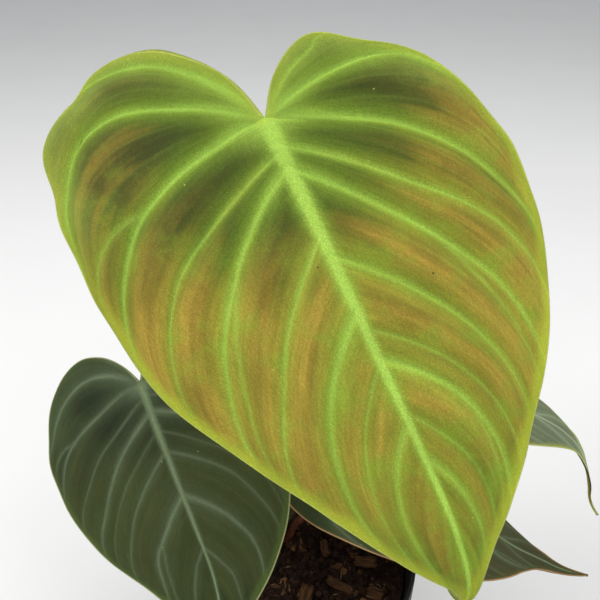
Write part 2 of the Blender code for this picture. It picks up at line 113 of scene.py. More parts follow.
BACK_SIDE = ((0.010, -0.005), (0.10, -0.10), (0.27, -0.19), (0.48, -0.235), (0.70, -0.20), (0.90, -0.09),
             (1.0, 0.05), (0.97, 0.17), (0.86, 0.30), (0.66, 0.43), (0.44, 0.54), (0.25, 0.63),
             (0.12, 0.70), (0.07, 0.76), (0.055, 0.85), (0.04, 0.93), (0.03, 0.98), (0.010, 1.0))

# Side veins: station, share of the margin's length where the vein ends, bulge towards the base and
# place of the bulge (shares of the straight line from end to end), strength.
NEW_LEFT_VEINS = (
    (0.14, 0.25, 0.36, 0.70, 1.0), (0.26, 0.50, 1.10, 0.62, 1.0), (0.34, 0.60, 0.54, 0.62, 1.0),
    (0.388, 0.667, 0.42, 0.66, 0.6), (0.409, 0.738, 0.33, 0.57, 1.0), (0.50, 0.777, 0.21, 0.61, 0.7),
    (0.596, 0.879, 0.35, 0.52, 1.0), (0.66, 0.915, 0.34, 0.48, 0.4), (0.731, 0.945, 0.36, 0.45, 0.8),
    (0.90, 0.965, 0.12, 0.50, 0.0))
NEW_RIGHT_VEINS = (
    (0.10, 0.149, 0.14, 0.70, 0.5), (0.22, 0.49, 0.80, 0.46, 1.0), (0.30, 0.58, 0.41, 0.66, 1.0),
    (0.378, 0.612, 0.24, 0.75, 0.8), (0.411, 0.694, 0.23, 0.72, 1.0), (0.527, 0.767, 0.31, 0.69, 0.8),
    (0.618, 0.80, 0.33, 0.58, 0.4), (0.655, 0.85, 0.41, 0.57, 1.0), (0.72, 0.89, 0.32, 0.50, 0.4),
    (0.774, 0.928, 0.25, 0.45, 0.8), (0.90, 0.965, 0.12, 0.50, 0.0))
OLD_VEINS = (
    (0.12, 0.16, 0.14, 0.70, 0.5), (0.22, 0.42, 0.80, 0.50, 0.9), (0.30, 0.54, 0.45, 0.66, 0.7),
    (0.38, 0.62, 0.30, 0.66, 0.35), (0.42, 0.69, 0.30, 0.66, 0.7), (0.47, 0.73, 0.30, 0.65, 0.2),
    (0.52, 0.765, 0.30, 0.64, 0.45), (0.624, 0.85, 0.35, 0.56, 0.8), (0.75, 0.92, 0.28, 0.50, 0.4),
    (0.90, 0.955, 0.10, 0.50, 0.0))

# Branches: half, vein's station, share of its length where the branch leaves, station it drifts to, strength.
NEW_BRANCHES = ((1, 0.22, 0.40, 0.165, 0.8), (0, 0.34, 0.42, 0.30, 0.6), (0, 0.409, 0.30, 0.455, 0.7),
                (1, 0.411, 0.38, 0.46, 0.6), (1, 0.655, 0.45, 0.69, 0.5), (0, 0.26, 0.55, 0.225, 0.4))
OLD_BRANCHES = ((0, 0.30, 0.5, 0.26, 0.6), (1, 0.30, 0.4, 0.34, 0.5), (1, 0.42, 0.45, 0.45, 0.4),
                (0, 0.624, 0.4, 0.68, 0.5))

# What the three older leaves share: veins, strength of the faint veins, waviness of the veins, widest midrib.
OLD_LEAF = {"veins": (OLD_VEINS, OLD_VEINS), "branches": OLD_BRANCHES, "faint": 0.06, "wander": 0.014,
            "rib_width": 1.6 * MM, "ripple": 0}

# Heading, drop and roll place the blade at its joint; bend and swing list (share of the length, degrees) down
# and sideways; quilt is how high the panels between the veins rise, ripple how far the margin waves.
LEAVES = {
    "newest": {
        "joint": (-9.1 * MM, 18.8 * MM, 220.9 * MM), "heading": -60, "drop": 36, "roll": -25,
        "length": 182 * MM, "half_width": 80 * MM, "cup": 3.4, "quilt": 3.3 * MM, "ripple": 1.6 * MM,
        "bend": ((-0.25, -6), (0, 0), (0.78, 15), (0.87, 22), (0.92, 38), (0.955, 85), (0.98, 140),
                 (1.02, 185)),
        "swing": ((0, 0), (0.70, 0), (0.84, -7), (0.90, -18), (0.95, -42), (1.0, -85)),
        "outline": (NEW_LEFT, NEW_RIGHT), "veins": (NEW_LEFT_VEINS, NEW_RIGHT_VEINS),
        "branches": NEW_BRANCHES, "faint": 0.16, "wander": 0.006, "rib_width": 3.4 * MM,
        "stalk_height": 23 * MM, "stalk_direction": 130, "stalk_radius": 2.6 * MM,
        "stalk_way": ((-16 * MM, 27 * MM, 91 * MM), (-16 * MM, 34 * MM, 161 * MM))},
    "left": {
        **OLD_LEAF, "outline": (OLD_SIDE, OLD_SIDE),
        "joint": (-66 * MM, 14 * MM, 108 * MM), "heading": -63, "drop": 20, "roll": -30,
        "length": 119 * MM, "half_width": 52 * MM, "cup": 2.0, "quilt": 1.5 * MM,
        "bend": ((-0.25, -6), (0, 0), (0.6, 30), (0.85, 8), (1.02, 0)), "swing": ((0, 0), (1, -18)),
        "stalk_height": 13 * MM, "stalk_direction": 205, "stalk_radius": 2.2 * MM,
        "stalk_way": ((-27 * MM, 20 * MM, 51 * MM), (-52 * MM, 28 * MM, 89 * MM))},
    "front": {
        **OLD_LEAF, "outline": (FRONT_SIDE, FRONT_SIDE),
        "joint": (26 * MM, 5 * MM, 58 * MM), "heading": -11, "drop": 12, "roll": 10,
        "length": 122 * MM, "half_width": 37 * MM, "cup": 6.0, "quilt": 1.2 * MM,
        "bend": ((-0.25, -6), (0, 0), (0.6, 15), (0.85, 14), (1.02, -24)), "swing": ((0, 0), (1, 0)),
        "stalk_height": 5 * MM, "stalk_direction": -40, "stalk_radius": 2.0 * MM,
        "stalk_way": ((5 * MM, 7 * MM, 26 * MM), (17 * MM, 8 * MM, 47 * MM))},
    "back": {
        **OLD_LEAF, "outline": (BACK_SIDE, BACK_SIDE),
        "joint": (65 * MM, 52 * MM, 78 * MM), "heading": -10, "drop": 8, "roll": 6,
        "length": 136 * MM, "half_width": 34 * MM, "cup": 6.0, "quilt": 1.2 * MM,
        "bend": ((-0.25, -6), (0, 0), (0.5, 18), (0.60, 26), (0.68, 54), (0.88, 66), (1.02, 44)),
        "swing": ((0, 0), (1, -6)),
        "stalk_height": 9 * MM, "stalk_direction": 60, "stalk_radius": 2.0 * MM,
        "stalk_way": ((2 * MM, 40 * MM, 43 * MM), (34 * MM, 60 * MM, 73 * MM))},
}
STALK_FOOT = 12 * MM
STALK_TAPER = 0.8
STALK_STEPS = 150
BUD_STEPS = 90
ROOT_STEPS = 90


def srgb(red, green, blue):
    """Linear colour of an 8-bit display colour."""
    shares = (level / 255 for level in (red, green, blue))
    return tuple(((share + 0.055) / 1.055) ** 2.4 if share > 0.04 else share / 12.92 for share in shares)


# --- materials ---

class Value:
    """A shader socket that takes part in Python arithmetic by adding Math nodes."""

    def __init__(self, look, socket):
        self.look = look
        self.socket = socket

    def maths(self, operation, *values):
        return self.look.node("ShaderNodeMath", {"operation": operation}, *values)

    def __add__(self, other):
        return self.maths("ADD", self, other)

    def __radd__(self, other):
        return self.maths("ADD", other, self)

    def __sub__(self, other):
        return self.maths("SUBTRACT", self, other)

    def __rsub__(self, other):
        return self.maths("SUBTRACT", other, self)

    def __mul__(self, other):
        return self.maths("MULTIPLY", self, other)

    def __rmul__(self, other):
        return self.maths("MULTIPLY", other, self)

    def rise(self, low, high):
        """0 below low, 1 above high and smooth between."""
        smooth = {"interpolation_type": "SMOOTHSTEP"}
        return self.look.node("ShaderNodeMapRange", smooth, self, low, high, 0, 1)


class Look:
    """A material with one Principled shader, built node by node."""

    def __init__(self, name, roughness=0.5, **fixed):
        self.material = bpy.data.materials.new(name)
        self.material.use_nodes = True
        self.tree = self.material.node_tree
        self.shader = self.tree.nodes["Principled BSDF"]
        self.shader.inputs["Roughness"].default_value = roughness
        for socket, value in fixed.items():
            self.shader.inputs[socket.replace("_", " ")].default_value = value
        self.place = self.node("ShaderNodeTexCoord", {}, out="Object")

    def node(self, kind, settings, *values, out=0, **named):
        made = self.tree.nodes.new(kind)
        for key, value in settings.items():
            setattr(made, key, value)
        for index, value in enumerate(values):
            self.feed(made.inputs[index], value)
        for key, value in named.items():
            self.feed(made.inputs[key], value)
        return Value(self, made.outputs[out])

    def feed(self, socket, value):
        if value is None:
            return
        if isinstance(value, Value):
            self.tree.links.new(value.socket, socket)
        elif socket.type == "RGBA":
            socket.default_value = (*value, 1)
        else:
            socket.default_value = value

    def noise(self, scale, detail=2.0, roughness=0.5, place=None, stretch=None):
        """Soft noise, 0 to 1, with features about 1/scale across."""
        where = place or self.place
        if stretch:
            where = self.stretched(where, stretch)
        return self.node("ShaderNodeTexNoise", {}, out="Fac", Vector=where, Scale=scale, Detail=detail,
                         Roughness=roughness)

    def cells(self, scale, place=None, feature="F1", out="Distance"):
        return self.node("ShaderNodeTexVoronoi", {"feature": feature}, out=out, Vector=place or self.place,
                         Scale=scale)

    def attribute(self, name, out="Fac"):
        return self.node("ShaderNodeAttribute", {"attribute_name": name}, out=out)

    def tint(self, colour, shade):
        """Colour made lighter or darker by a factor."""
        grey = self.node("ShaderNodeCombineColor", {}, shade, shade, shade)
        return self.mix(1.0, colour, grey, "MULTIPLY")

    def stretched(self, vector, scale):
        """A vector scaled along its three directions."""
        return self.node("ShaderNodeVectorMath", {"operation": "MULTIPLY"}, vector, scale)

    def mix(self, factor, first, second, blend="MIX"):
        """Colour mix: first where factor is 0, second where it is 1."""
        made = self.tree.nodes.new("ShaderNodeMix")
        made.data_type = "RGBA"
        made.blend_type = blend
        made.clamp_factor = True
        self.feed(made.inputs[0], factor)
        self.feed(made.inputs[6], first)
        self.feed(made.inputs[7], second)
        return Value(self, made.outputs[2])

    def bump(self, height, distance, strength=1.0):
        return self.node("ShaderNodeBump", {}, out="Normal", Strength=strength, Distance=distance,
                         Height=height)

    def finish(self, colour, roughness=None, normal=None):
        self.feed(self.shader.inputs["Base Color"], colour)
        self.feed(self.shader.inputs["Roughness"], roughness)
        self.feed(self.shader.inputs["Normal"], normal)
        return self.material


# Stored at every point of a blade: nearness to a vein, the wider glow round veins, nearness to the midrib,
# distance from the margin in mm, share of the length, nearness to the joint, 1 on the lower sheet, and how
# far out it lies into the panel between two veins.
LEAF_FIELDS = ("vein", "halo", "rib", "edge", "along", "deep", "under", "middle")


def leaf_patterns(look):
    """What colours a blade: its stored fields, streaks that follow the side veins, and patches."""
    stored = {title: look.attribute(title) for title in LEAF_FIELDS}
    ribs = look.node("ShaderNodeUVMap", {"uv_map": "ribs"})
    threads = look.noise(1.0, 1.0, 0.6, ribs, (620, 70, 0))
    rungs = look.noise(1.0, 1.0, 0.5, ribs, (200, 900, 0))
    net = look.cells(1.0, look.stretched(ribs, (1050, 1250, 1)), "DISTANCE_TO_EDGE")
    return SimpleNamespace(
        **stored, threads=threads, grain=threads * 0.6 + rungs * 0.4, net=1 - net.rise(0.02, 0.25),
        bands=look.noise(1.0, 2.0, 0.6, ribs, (100, 16, 0)), broad=look.noise(24, 2.0, 0.55),
        patch=look.noise(75, 3.0, 0.6), fine=look.noise(1900, 1.0, 0.6))


def tissue_colour(look, tones, warmth, leaf):
    """Between the veins: a dark pocket colour near the joint that is partly painted shade, warm streaks
    further out, green beside the veins and a painted grey-green sheen near the lobe margins.
    """
    glow = leaf.along.rise(0.05, 0.32) * (1 - leaf.along.rise(0.55, 0.85))
    uneven = leaf.bands * 1.5 + leaf.broad * 0.9 + leaf.patch * 0.4
    warm = (glow * 0.42 + uneven - leaf.deep * 0.3 - 1.3) * warmth
    colour = look.mix(warm.rise(-0.15, 0.25), tones["dark"], tones["bronze"])
    colour = look.mix(warm.rise(0.15, 0.7) * (0.1 + leaf.grain * 0.95), colour, tones["orange"])
    colour = look.mix(leaf.patch.rise(0.48, 0.7) * (0.25 + leaf.along * 0.5), colour, tones["green"])
    # Painted shade: near the joint and away from the veins the tissue turns deep green, partly the leaf's own
    # darker base and partly the shade of its sunken hollows.
    base_tint_and_pocket_shade = leaf.deep.rise(0.2, 0.85) * leaf.middle.rise(0.1, 0.6)
    colour = look.mix(base_tint_and_pocket_shade * 0.9, colour, tones["deep"])
    # Painted sheen: a grey-green haze over each lobe at the base of the blade, fading out by about 20 mm in
    # from the margin.
    lobe_sheen_mask = (1 - leaf.along.rise(0.0, 0.15)) * (1 - leaf.edge.rise(3, 20))
    colour = look.mix(lobe_sheen_mask * (0.3 + leaf.patch * 0.6), colour, tones["lobe_sheen"])
    beside_veins = (1 - leaf.middle) * (0.45 + leaf.bands * 0.7) * (1 - leaf.deep * 0.45)
    return look.mix(beside_veins * tones["spread"], colour, tones["green"])


def vein_colour(look, tones, leaf, colour):
    """Pale veins with a soft glow round them, and a mottled midrib."""
    uneven = 0.55 + leaf.patch * 0.5 + leaf.broad * 0.3
    colour = look.mix(leaf.halo * uneven * (0.38 + leaf.grain * 0.5), colour, tones["halo"])
    colour = look.mix(leaf.vein * uneven * (0.5 + leaf.fine * 0.3), colour, tones["vein"])
    return look.mix(leaf.rib * (0.4 + leaf.fine * 0.5), colour, tones["midrib"])


def margin_colour(look, tones, leaf, colour):
    """A pale band of uneven width along the margin, and a thin rim."""
    ragged = leaf.edge + (leaf.patch - 0.5) * 5 + (leaf.threads - 0.5) * 1.6
    band = (1 - ragged.rise(0.8, tones["band"])) * (0.3 + leaf.along.rise(0.0, 0.4) * 0.65)
    colour = look.mix(band, colour, tones["margin"])
    return look.mix((1 - leaf.edge.rise(0.2, 0.8)) * 0.9, colour, tones["rim"])


def speckled(look, tones, colour):
    """A few pale and dark dots, in some places only."""
    pale = 1 - look.cells(110).rise(0.02, 0.045)
    colour = look.mix(pale * look.noise(17).rise(0.48, 0.56) * 0.7, colour, tones["rim"])
    dark = 1 - look.cells(64, look.stretched(look.place, (1, 1.3, -1))).rise(0.018, 0.035)
    spotted = look.noise(21, place=look.stretched(look.place, (-1, 1, 1))).rise(0.5, 0.58)
    return look.mix(dark * spotted * 0.8, colour, srgb(50, 40, 20))


def leaf_look(name, tones, warmth, sheen):
    """Velvety blade: streaky tissue between pale veins, a pale margin, specks and a dull underside."""
    look = Look(name, Sheen_Weight=sheen, Sheen_Roughness=0.5, Sheen_Tint=(*tones["sheen"], 1),
                Specular_IOR_Level=0.12)
    leaf = leaf_patterns(look)
    colour = tissue_colour(look, tones, warmth, leaf)
    colour = vein_colour(look, tones, leaf, colour)
    colour = margin_colour(look, tones, leaf, colour)
    colour = look.tint(colour, 0.68 + leaf.grain * 0.42 + leaf.fine * 0.26 - leaf.net * tones["net"])
    colour = speckled(look, tones, colour)
    back = look.mix(leaf.vein * 0.7 + leaf.halo * 0.25, tones["back"], tones["back_vein"])
    back = look.tint(back, 0.8 + leaf.grain * 0.2 + leaf.broad * 0.2)
    colour = look.mix(leaf.under, colour, back)
    relief = leaf.grain * 0.4 + leaf.fine * 0.3 + leaf.patch * 0.5 - leaf.net * 0.25
    roughness = 0.58 + leaf.fine * 0.16 + leaf.vein * 0.06
    return look.finish(colour, roughness, look.bump(relief, 0.4 * MM, 0.8))


# In each set of tones the deep pocket green is partly painted shade, and the lobe colour is a painted
# grey-green sheen.
NEW_TONES = {
    "dark": srgb(78, 78, 26), "bronze": srgb(130, 110, 38), "orange": srgb(192, 156, 64),
    "green": srgb(122, 154, 42), "deep": srgb(42, 50, 14), "halo": srgb(134, 166, 50),
    "vein": srgb(172, 212, 88), "midrib": srgb(172, 208, 86), "lobe_sheen": srgb(142, 160, 66),
    "margin": srgb(174, 186, 54), "rim": srgb(184, 192, 90), "band": 5.5, "spread": 0.75, "net": 0.22,
    "sheen": srgb(170, 190, 110), "back": srgb(118, 116, 52), "back_vein": srgb(160, 176, 84)}
LEFT_TONES = {
    "dark": srgb(34, 42, 18), "bronze": srgb(56, 62, 28), "orange": srgb(72, 80, 44),
    "green": srgb(52, 64, 30), "deep": srgb(26, 34, 14), "halo": srgb(84, 98, 70),
    "vein": srgb(122, 136, 106), "midrib": srgb(116, 132, 92), "lobe_sheen": srgb(60, 74, 42),
    "margin": srgb(70, 86, 38), "rim": srgb(150, 152, 104), "band": 3.5, "spread": 0.5, "net": 0.08,
    "sheen": srgb(150, 170, 120), "back": srgb(92, 84, 52), "back_vein": srgb(132, 138, 84)}
FRONT_TONES = {
    **LEFT_TONES, "dark": srgb(52, 54, 28), "bronze": srgb(62, 58, 32), "green": srgb(58, 66, 32),
    "margin": srgb(76, 74, 38), "rim": srgb(176, 138, 96), "band": 2.4}
# The back leaf: the old leaves' tones made lighter and greyer on the upper surface as a painted sheen, the
# sky reflected at a grazing angle.
BACK_SHEEN_TONES = {
    **LEFT_TONES, "dark": srgb(90, 100, 72), "bronze": srgb(100, 106, 80), "orange": srgb(112, 120, 90),
    "green": srgb(100, 114, 80), "deep": srgb(74, 84, 58), "halo": srgb(124, 138, 108),
    "vein": srgb(156, 170, 142), "midrib": srgb(160, 172, 140), "lobe_sheen": srgb(120, 132, 98),
    "margin": srgb(140, 150, 88), "rim": srgb(198, 198, 98), "band": 3.0,
    "back": srgb(134, 120, 50), "back_vein": srgb(172, 172, 90)}


def skin_look(name, base, light, dark, roughness, fleck=0.5, foot=None):
    """Skin of stems and stalks: streaks along the piece, small pale flecks and a foot of another colour."""
    look = Look(name, Specular_IOR_Level=0.4)
    skin = look.attribute("skin", "Vector")
    streaks = look.noise(1.0, 3.0, 0.6, skin, (3.4, 3.4, 40))
    fine = look.noise(1.0, 2.0, 0.6, skin, (9, 9, 420))
    colour = look.mix(streaks.rise(0.38, 0.66), dark, base)
    colour = look.mix(fine.rise(0.45, 0.7) * 0.5, colour, light)
    spots = 1 - look.cells(1.0, look.stretched(skin, (2.6, 2.6, 360))).rise(0.16, 0.26)
    colour = look.mix(spots * fleck, colour, light)
    if foot:
        low = 1 - look.attribute("along").rise(0.02, 0.22)
        colour = look.mix(low * (0.5 + streaks * 0.5), colour, foot)
    colour = look.tint(colour, 0.82 + look.noise(260, 2.0) * 0.36)
    relief = fine * 0.6 + streaks * 0.4 + spots * 0.3
    return look.finish(colour, roughness + fine * 0.14, look.bump(relief, 0.4 * MM, 0.8))


def papery_look():
    """Dry sheath: thin fibres in red-brown with bleached ends."""
    look = Look("dry_fibre", Specular_IOR_Level=0.25)
    skin = look.attribute("skin", "Vector")
    fibres = look.noise(1.0, 2.0, 0.65, skin, (95, 3, 0))
    blotch = look.noise(190, 3.0)
    colour = look.mix(fibres.rise(0.35, 0.65), srgb(58, 26, 14), srgb(128, 66, 34))
    colour = look.mix(blotch.rise(0.5, 0.7) * 0.6, colour, srgb(156, 112, 66))
    return look.finish(look.tint(colour, 0.75 + fibres * 0.5), 0.62 + blotch * 0.25,
                       look.bump(fibres + blotch * 0.3, 0.5 * MM))


def mix_look(name, dark, light, odd, share):
    """Crumbly organic matter: every crumb its own brown, some paler."""
    look = Look(name, Specular_IOR_Level=0.18)
    crumbs = look.cells(330, out="Color")
    pick = look.node("ShaderNodeSeparateColor", {}, crumbs, out="Red")
    fine = look.noise(2100, 3.0, 0.65)
    damp = look.noise(46, 2.0)
    colour = look.mix(pick * 0.7 + fine * 0.3, dark, light)
    colour = look.mix(pick.rise(1 - share, 1.02 - share) * 0.8, colour, odd)
    colour = look.tint(colour, 0.45 + damp * 0.5 + fine * 0.5)
    return look.finish(colour, 0.82 + fine * 0.15, look.bump(fine, 0.5 * MM))


def bark_look():
    """Flakes of bark: layered tan and dark brown with fibres along the flake."""
    look = Look("bark_flake", Specular_IOR_Level=0.2)
    skin = look.attribute("skin", "Vector")
    fibres = look.noise(1.0, 4.0, 0.65, skin, (130, 1500, 1500))
    layers = look.noise(1.0, 2.0, 0.5, skin, (60, 220, 900))
    colour = look.mix(fibres.rise(0.36, 0.64), srgb(56, 34, 20), srgb(124, 86, 50))
    colour = look.mix(layers.rise(0.52, 0.66) * 0.75, colour, srgb(38, 24, 16))
    each = look.noise(38, 0.0)
    colour = look.tint(colour, 0.3 + each * 0.75 + fibres * 0.2)
    return look.finish(colour, 0.8 + fibres * 0.15, look.bump(fibres + layers, 0.5 * MM))


def plastic_look():
    """Moulded plastic: satin black with a fine grain, rub marks, dust low down and soil under the rim."""
    look = Look("black_plastic", Specular_IOR_Level=0.5)
    grain = look.noise(2400, 2.0, 0.6)
    cloud = look.noise(34, 3.0, 0.6)
    scratches = look.noise(1.0, 2.0, 0.7, stretch=(90, 90, 1400))
    drips = look.noise(1.0, 2.0, 0.6, stretch=(240, 240, 14))
    height = look.node("ShaderNodeSeparateXYZ", {}, look.place, out="Z")
    colour = look.mix(cloud, srgb(16, 16, 17), srgb(27, 27, 28))
    colour = look.mix(scratches.rise(0.6, 0.7) * 0.3, colour, srgb(70, 70, 72))
    dust = (1 - height.rise(0.0, 0.03)) * cloud.rise(0.4, 0.6)
    colour = look.mix(dust * 0.5 + drips.rise(0.6, 0.74) * 0.1, colour, srgb(98, 88, 76))
    crumbs = look.cells(420).rise(0.18, 0.3)
    soiled = (1 - crumbs) * look.noise(70).rise(0.52, 0.6) * height.rise(0.085, 0.1)
    colour = look.mix(soiled * 0.7, colour, srgb(52, 36, 26))
    roughness = 0.34 + cloud * 0.16 + dust * 0.3 + scratches * 0.08
    relief = grain * 0.4 + cloud * 0.6 + scratches * 0.3
    return look.finish(colour, roughness, look.bump(relief, 0.2 * MM))


# --- shapes ---

def new_mesh(name, vertices, faces):
    mesh = bpy.data.meshes.new(name)
    mesh.from_pydata([tuple(corner) for corner in vertices], [], faces)
    mesh.update()
    return mesh


def new_object(name, data):
    thing = bpy.data.objects.new(name, data)
    bpy.context.scene.collection.objects.link(thing)
    return thing


def add_piece(name, mesh, look, replaced, smooth=True):
    """A finished mesh piece that rides on the plant's one body in place of a solid."""
    mesh.materials.clear()
    mesh.materials.append(look)
    mesh.polygons.foreach_set("use_smooth", [smooth] * len(mesh.polygons))
    piece = new_object(name, mesh)
    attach(piece, "root")
    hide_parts(replaced)
    return piece


def store(mesh, name, values, kind="FLOAT"):
    """Keep a value or a vector for every point of a mesh, for its material to read."""
    field = "vector" if kind == "FLOAT_VECTOR" else "value"
    mesh.attributes.new(name, kind, "POINT").data.foreach_set(field, np.ravel(values))


def taken(thing):
    """The evaluated mesh of a helper object, as a plain mesh. The helper is removed."""
    graph = bpy.context.evaluated_depsgraph_get()
    mesh = bpy.data.meshes.new_from_object(thing.evaluated_get(graph))
    bpy.data.objects.remove(thing)
    return mesh


def grid_faces(first, rows, columns, flip):
    """Faces of a sheet whose corners are numbered row by row from a first one."""
    faces = []
    for row in range(rows - 1):
        for column in range(columns - 1):
            corner = first + row * columns + column
            face = (corner, corner + 1, corner + columns + 1, corner + columns)
            faces.append(face[::-1] if flip else face)
    return faces


def rim_faces(faces, line, below, flip):
    """A strip between the upper and the lower sheet along one open edge."""
    for first, second in zip(line, line[1:]):
        face = (first, first + below, second + below, second)
        faces.append(face[::-1] if flip else face)


def weld(mesh, distance):
    shape = bmesh.new()
    shape.from_mesh(mesh)
    bmesh.ops.remove_doubles(shape, verts=shape.verts, dist=distance)
    bmesh.ops.dissolve_degenerate(shape, edges=shape.edges, dist=0.001 * MM)
    shape.to_mesh(mesh)
    shape.free()


def smooth_curve(points, count):
    """Even steps along a smooth curve that passes through the points."""
    knots = np.array(points, float)
    ends = np.vstack([2 * knots[0] - knots[1], knots, 2 * knots[-1] - knots[-2]])
    share = np.linspace(0, 1, CURVE_STEPS, endpoint=False)[:, None]
    pieces = []
    for a, b, c, d in zip(ends, ends[1:], ends[2:], ends[3:]):
        pieces.append(b + 0.5 * share * (c - a + share * (2 * a - 5 * b + 4 * c - d
                                                          + share * (3 * b - a - 3 * c + d))))
    path = np.vstack(pieces + [knots[-1:]])
    run = np.concatenate([[0], np.cumsum(np.linalg.norm(np.diff(path, axis=0), axis=1))])
    even = np.linspace(0, run[-1], count)
    return np.stack([np.interp(even, run, path[:, axis]) for axis in range(path.shape[1])], -1)


def above_mix(point):
    """A point whose height is given above the mean surface of the mix."""
    return Vector(point) + Vector((0, 0, SOIL_LEVEL))


class Blade:
    """A leaf blade: a flat outline with a fan of side veins, bent over a midrib that curves in space."""

    def __init__(self, leaf):
        self.length = leaf["length"]
        self.cup = leaf["cup"]
        self.scale = 0.45 + 0.55 * self.length / LEAVES["newest"]["length"]
        self.margins = [smooth_curve(np.array(half) * (leaf["half_width"], self.length), MARGIN_STEPS)
                        for half in leaf["outline"]]
        first = (0, 0, 0, 0.6, 0)
        last = (1, 1, 0, 0.5, 0)
        self.veins = [np.array((first, *veins, last)) for veins in leaf["veins"]]
        self.branches = leaf["branches"]
        self.faint = leaf["faint"]
        self.wander = leaf["wander"]
        self.rib_width = leaf["rib_width"]
        self.follow_midrib(leaf)

    def follow_midrib(self, leaf):
        """Work out the midrib's place and directions in small steps both ways from the joint."""
        heading, drop, roll = (math.radians(leaf[key]) for key in ("heading", "drop", "roll"))
        level = Vector((math.cos(heading), math.sin(heading), 0))
        along = level * math.cos(drop) - Vector((0, 0, 1)) * math.sin(drop)
        across = Matrix.Rotation(-roll, 3, along) @ Vector((math.sin(heading), -math.cos(heading), 0))
        step = MIDRIB_STEP
        self.distances = np.arange(-0.32 * self.length, 1.02 * self.length, step)
        start = int(np.argmin(np.abs(self.distances)))
        bend = self.angles(leaf["bend"])
        swing = self.angles(leaf["swing"])
        self.frames = np.zeros((len(self.distances), 4, 3))
        for way in (1, -1):
            place, ahead, side = above_mix(leaf["joint"]), along.copy(), across.copy()
            before = start
            last = len(self.distances) if way > 0 else -1
            for now in range(start, last, way):
                down = Matrix.Rotation(bend[before] - bend[now], 3, side)
                ahead = down @ ahead
                turn = Matrix.Rotation(swing[now] - swing[before], 3, side.cross(ahead))
                ahead = turn @ ahead
                side = turn @ side
                if now != before:
                    place = place + ahead * (step * way)
                self.frames[now] = (place, ahead, side, side.cross(ahead))
                before = now

    def angles(self, table):
        shares, degrees = zip(*table)
        return np.radians(np.interp(self.distances / self.length, shares, degrees))

    def midrib(self, distance):
        """Place, direction ahead, direction across and upward normal at distances from the joint."""
        flat = self.frames.reshape(len(self.distances), 12)
        found = np.stack([np.interp(distance, self.distances, flat[:, column]) for column in range(12)], -1)
        return np.moveaxis(found.reshape(*np.shape(distance), 4, 3), -2, 0)

    def rib(self, half, station, share):
        """Flat point at a share of the way from midrib to margin along the vein line at a station."""
        sign = (1, -1)[half]
        ends, bulge, lean = (np.interp(station, self.veins[half][:, 0], self.veins[half][:, column])
                             for column in (1, 2, 3))
        starts = np.clip((station - FAN) / (1 - FAN), 0, 1) * self.length
        origin = np.stack([np.zeros_like(starts), starts], -1)
        margin = self.margins[half]
        where = np.linspace(0, 1, len(margin))
        tip_x, tip_y = (np.interp(ends, where, margin[:, axis]) for axis in (0, 1))
        tip = np.stack([sign * tip_x, tip_y], -1)
        line = tip - origin
        towards_base = np.stack([line[..., 1], -line[..., 0]], -1) * sign
        knee = origin + line * lean[..., None] + towards_base * bulge[..., None]
        share = share[..., None]
        return (1 - share) ** 2 * origin + 2 * share * (1 - share) * knee + share ** 2 * tip

    def in_space(self, flat, lift):
        """Bend flat points over the midrib, with an even curve across the blade, and lift them off it."""
        place, _, across, up = self.midrib(flat[..., 1])
        angle = self.cup * flat[..., 0]
        out = across * np.sin(angle)[..., None] - up * (1 - np.cos(angle))[..., None]
        normal = across * np.sin(angle)[..., None] + up * np.cos(angle)[..., None]
        return place + out / self.cup + normal * lift[..., None]

    def stations(self):
        """Stations of the mesh lines, close at the veins and even between, and their run round the blade."""
        probe = np.linspace(0, 1, 401)
        mid = np.full_like(probe, 0.6)
        reach = np.zeros_like(probe)
        for half in (0, 1):
            points = self.rib(half, probe, mid)
            reach = np.maximum(reach, np.linalg.norm(np.gradient(points, probe, axis=0), axis=-1))
        walk = np.concatenate([[0], np.cumsum((reach[1:] + reach[:-1]) / 2 * np.diff(probe))])
        keys = [0.0, walk[-1]]
        for half in (0, 1):
            for vein in self.veins[half][1:-1]:
                centre = np.interp(vein[0], probe, walk)
                keys.extend(centre + np.array(BESIDE_VEIN))
        keys = sorted(key for key in keys if 0 <= key <= walk[-1])
        lines = [keys[0]]
        for key in keys[1:]:
            gap = key - lines[-1]
            if gap < LEAST_SPACING:
                continue
            extra = int(gap / LINE_SPACING)
            lines.extend(np.linspace(lines[-1], key, extra + 2)[1:])
        return np.interp(lines, walk, probe), np.array(lines)


def nearest(points, line):
    """Distance from each flat point to a polyline, and how far along it the nearest spot is (0 to 1)."""
    a = line[:-1]
    d = line[1:] - a
    length2 = np.maximum((d ** 2).sum(-1), 1e-14)
    best = np.full(len(points), 1e9)
    where = np.zeros(len(points))
    for index in range(len(a)):
        share = np.clip(((points - a[index]) @ d[index]) / length2[index], 0, 1)
        gap = np.linalg.norm(points - a[index] - share[:, None] * d[index], axis=1)
        closer = gap < best
        best[closer] = gap[closer]
        where[closer] = (index + share[closer]) / len(a)
    return best, where


def vein_lines(blade, half):
    """Every vein of one half blade: flat line, strength at its start, and whether it sinks the surface."""
    shares = np.linspace(0, 1, VEIN_STEPS)
    for station, _, _, _, strength in blade.veins[half][1:-1]:
        if strength > 0:
            wander = [noise.noise(Vector((share * 2.5, station * 40, half))) for share in shares]
            path = station + blade.wander * np.array(wander) * np.sin(math.pi * shares)
            yield blade.rib(half, path, shares), strength, True
    for side, station, leaves_at, drifts_to, strength in blade.branches:
        if side == half:
            rest = leaves_at + (1 - leaves_at) * shares
            turn = station + (drifts_to - station) * shares ** 0.7
            yield blade.rib(half, turn, rest), strength * 0.7, True
    stations = blade.veins[half][:, 0]
    for before, after in zip(stations[:-1], stations[1:]):
        if after - before > LEAST_FAINT_GAP:
            for part in FAINT_PLACES:
                faint = np.full_like(shares, before + part * (after - before))
                yield blade.rib(half, faint, 0.12 + 0.84 * shares), blade.faint, False


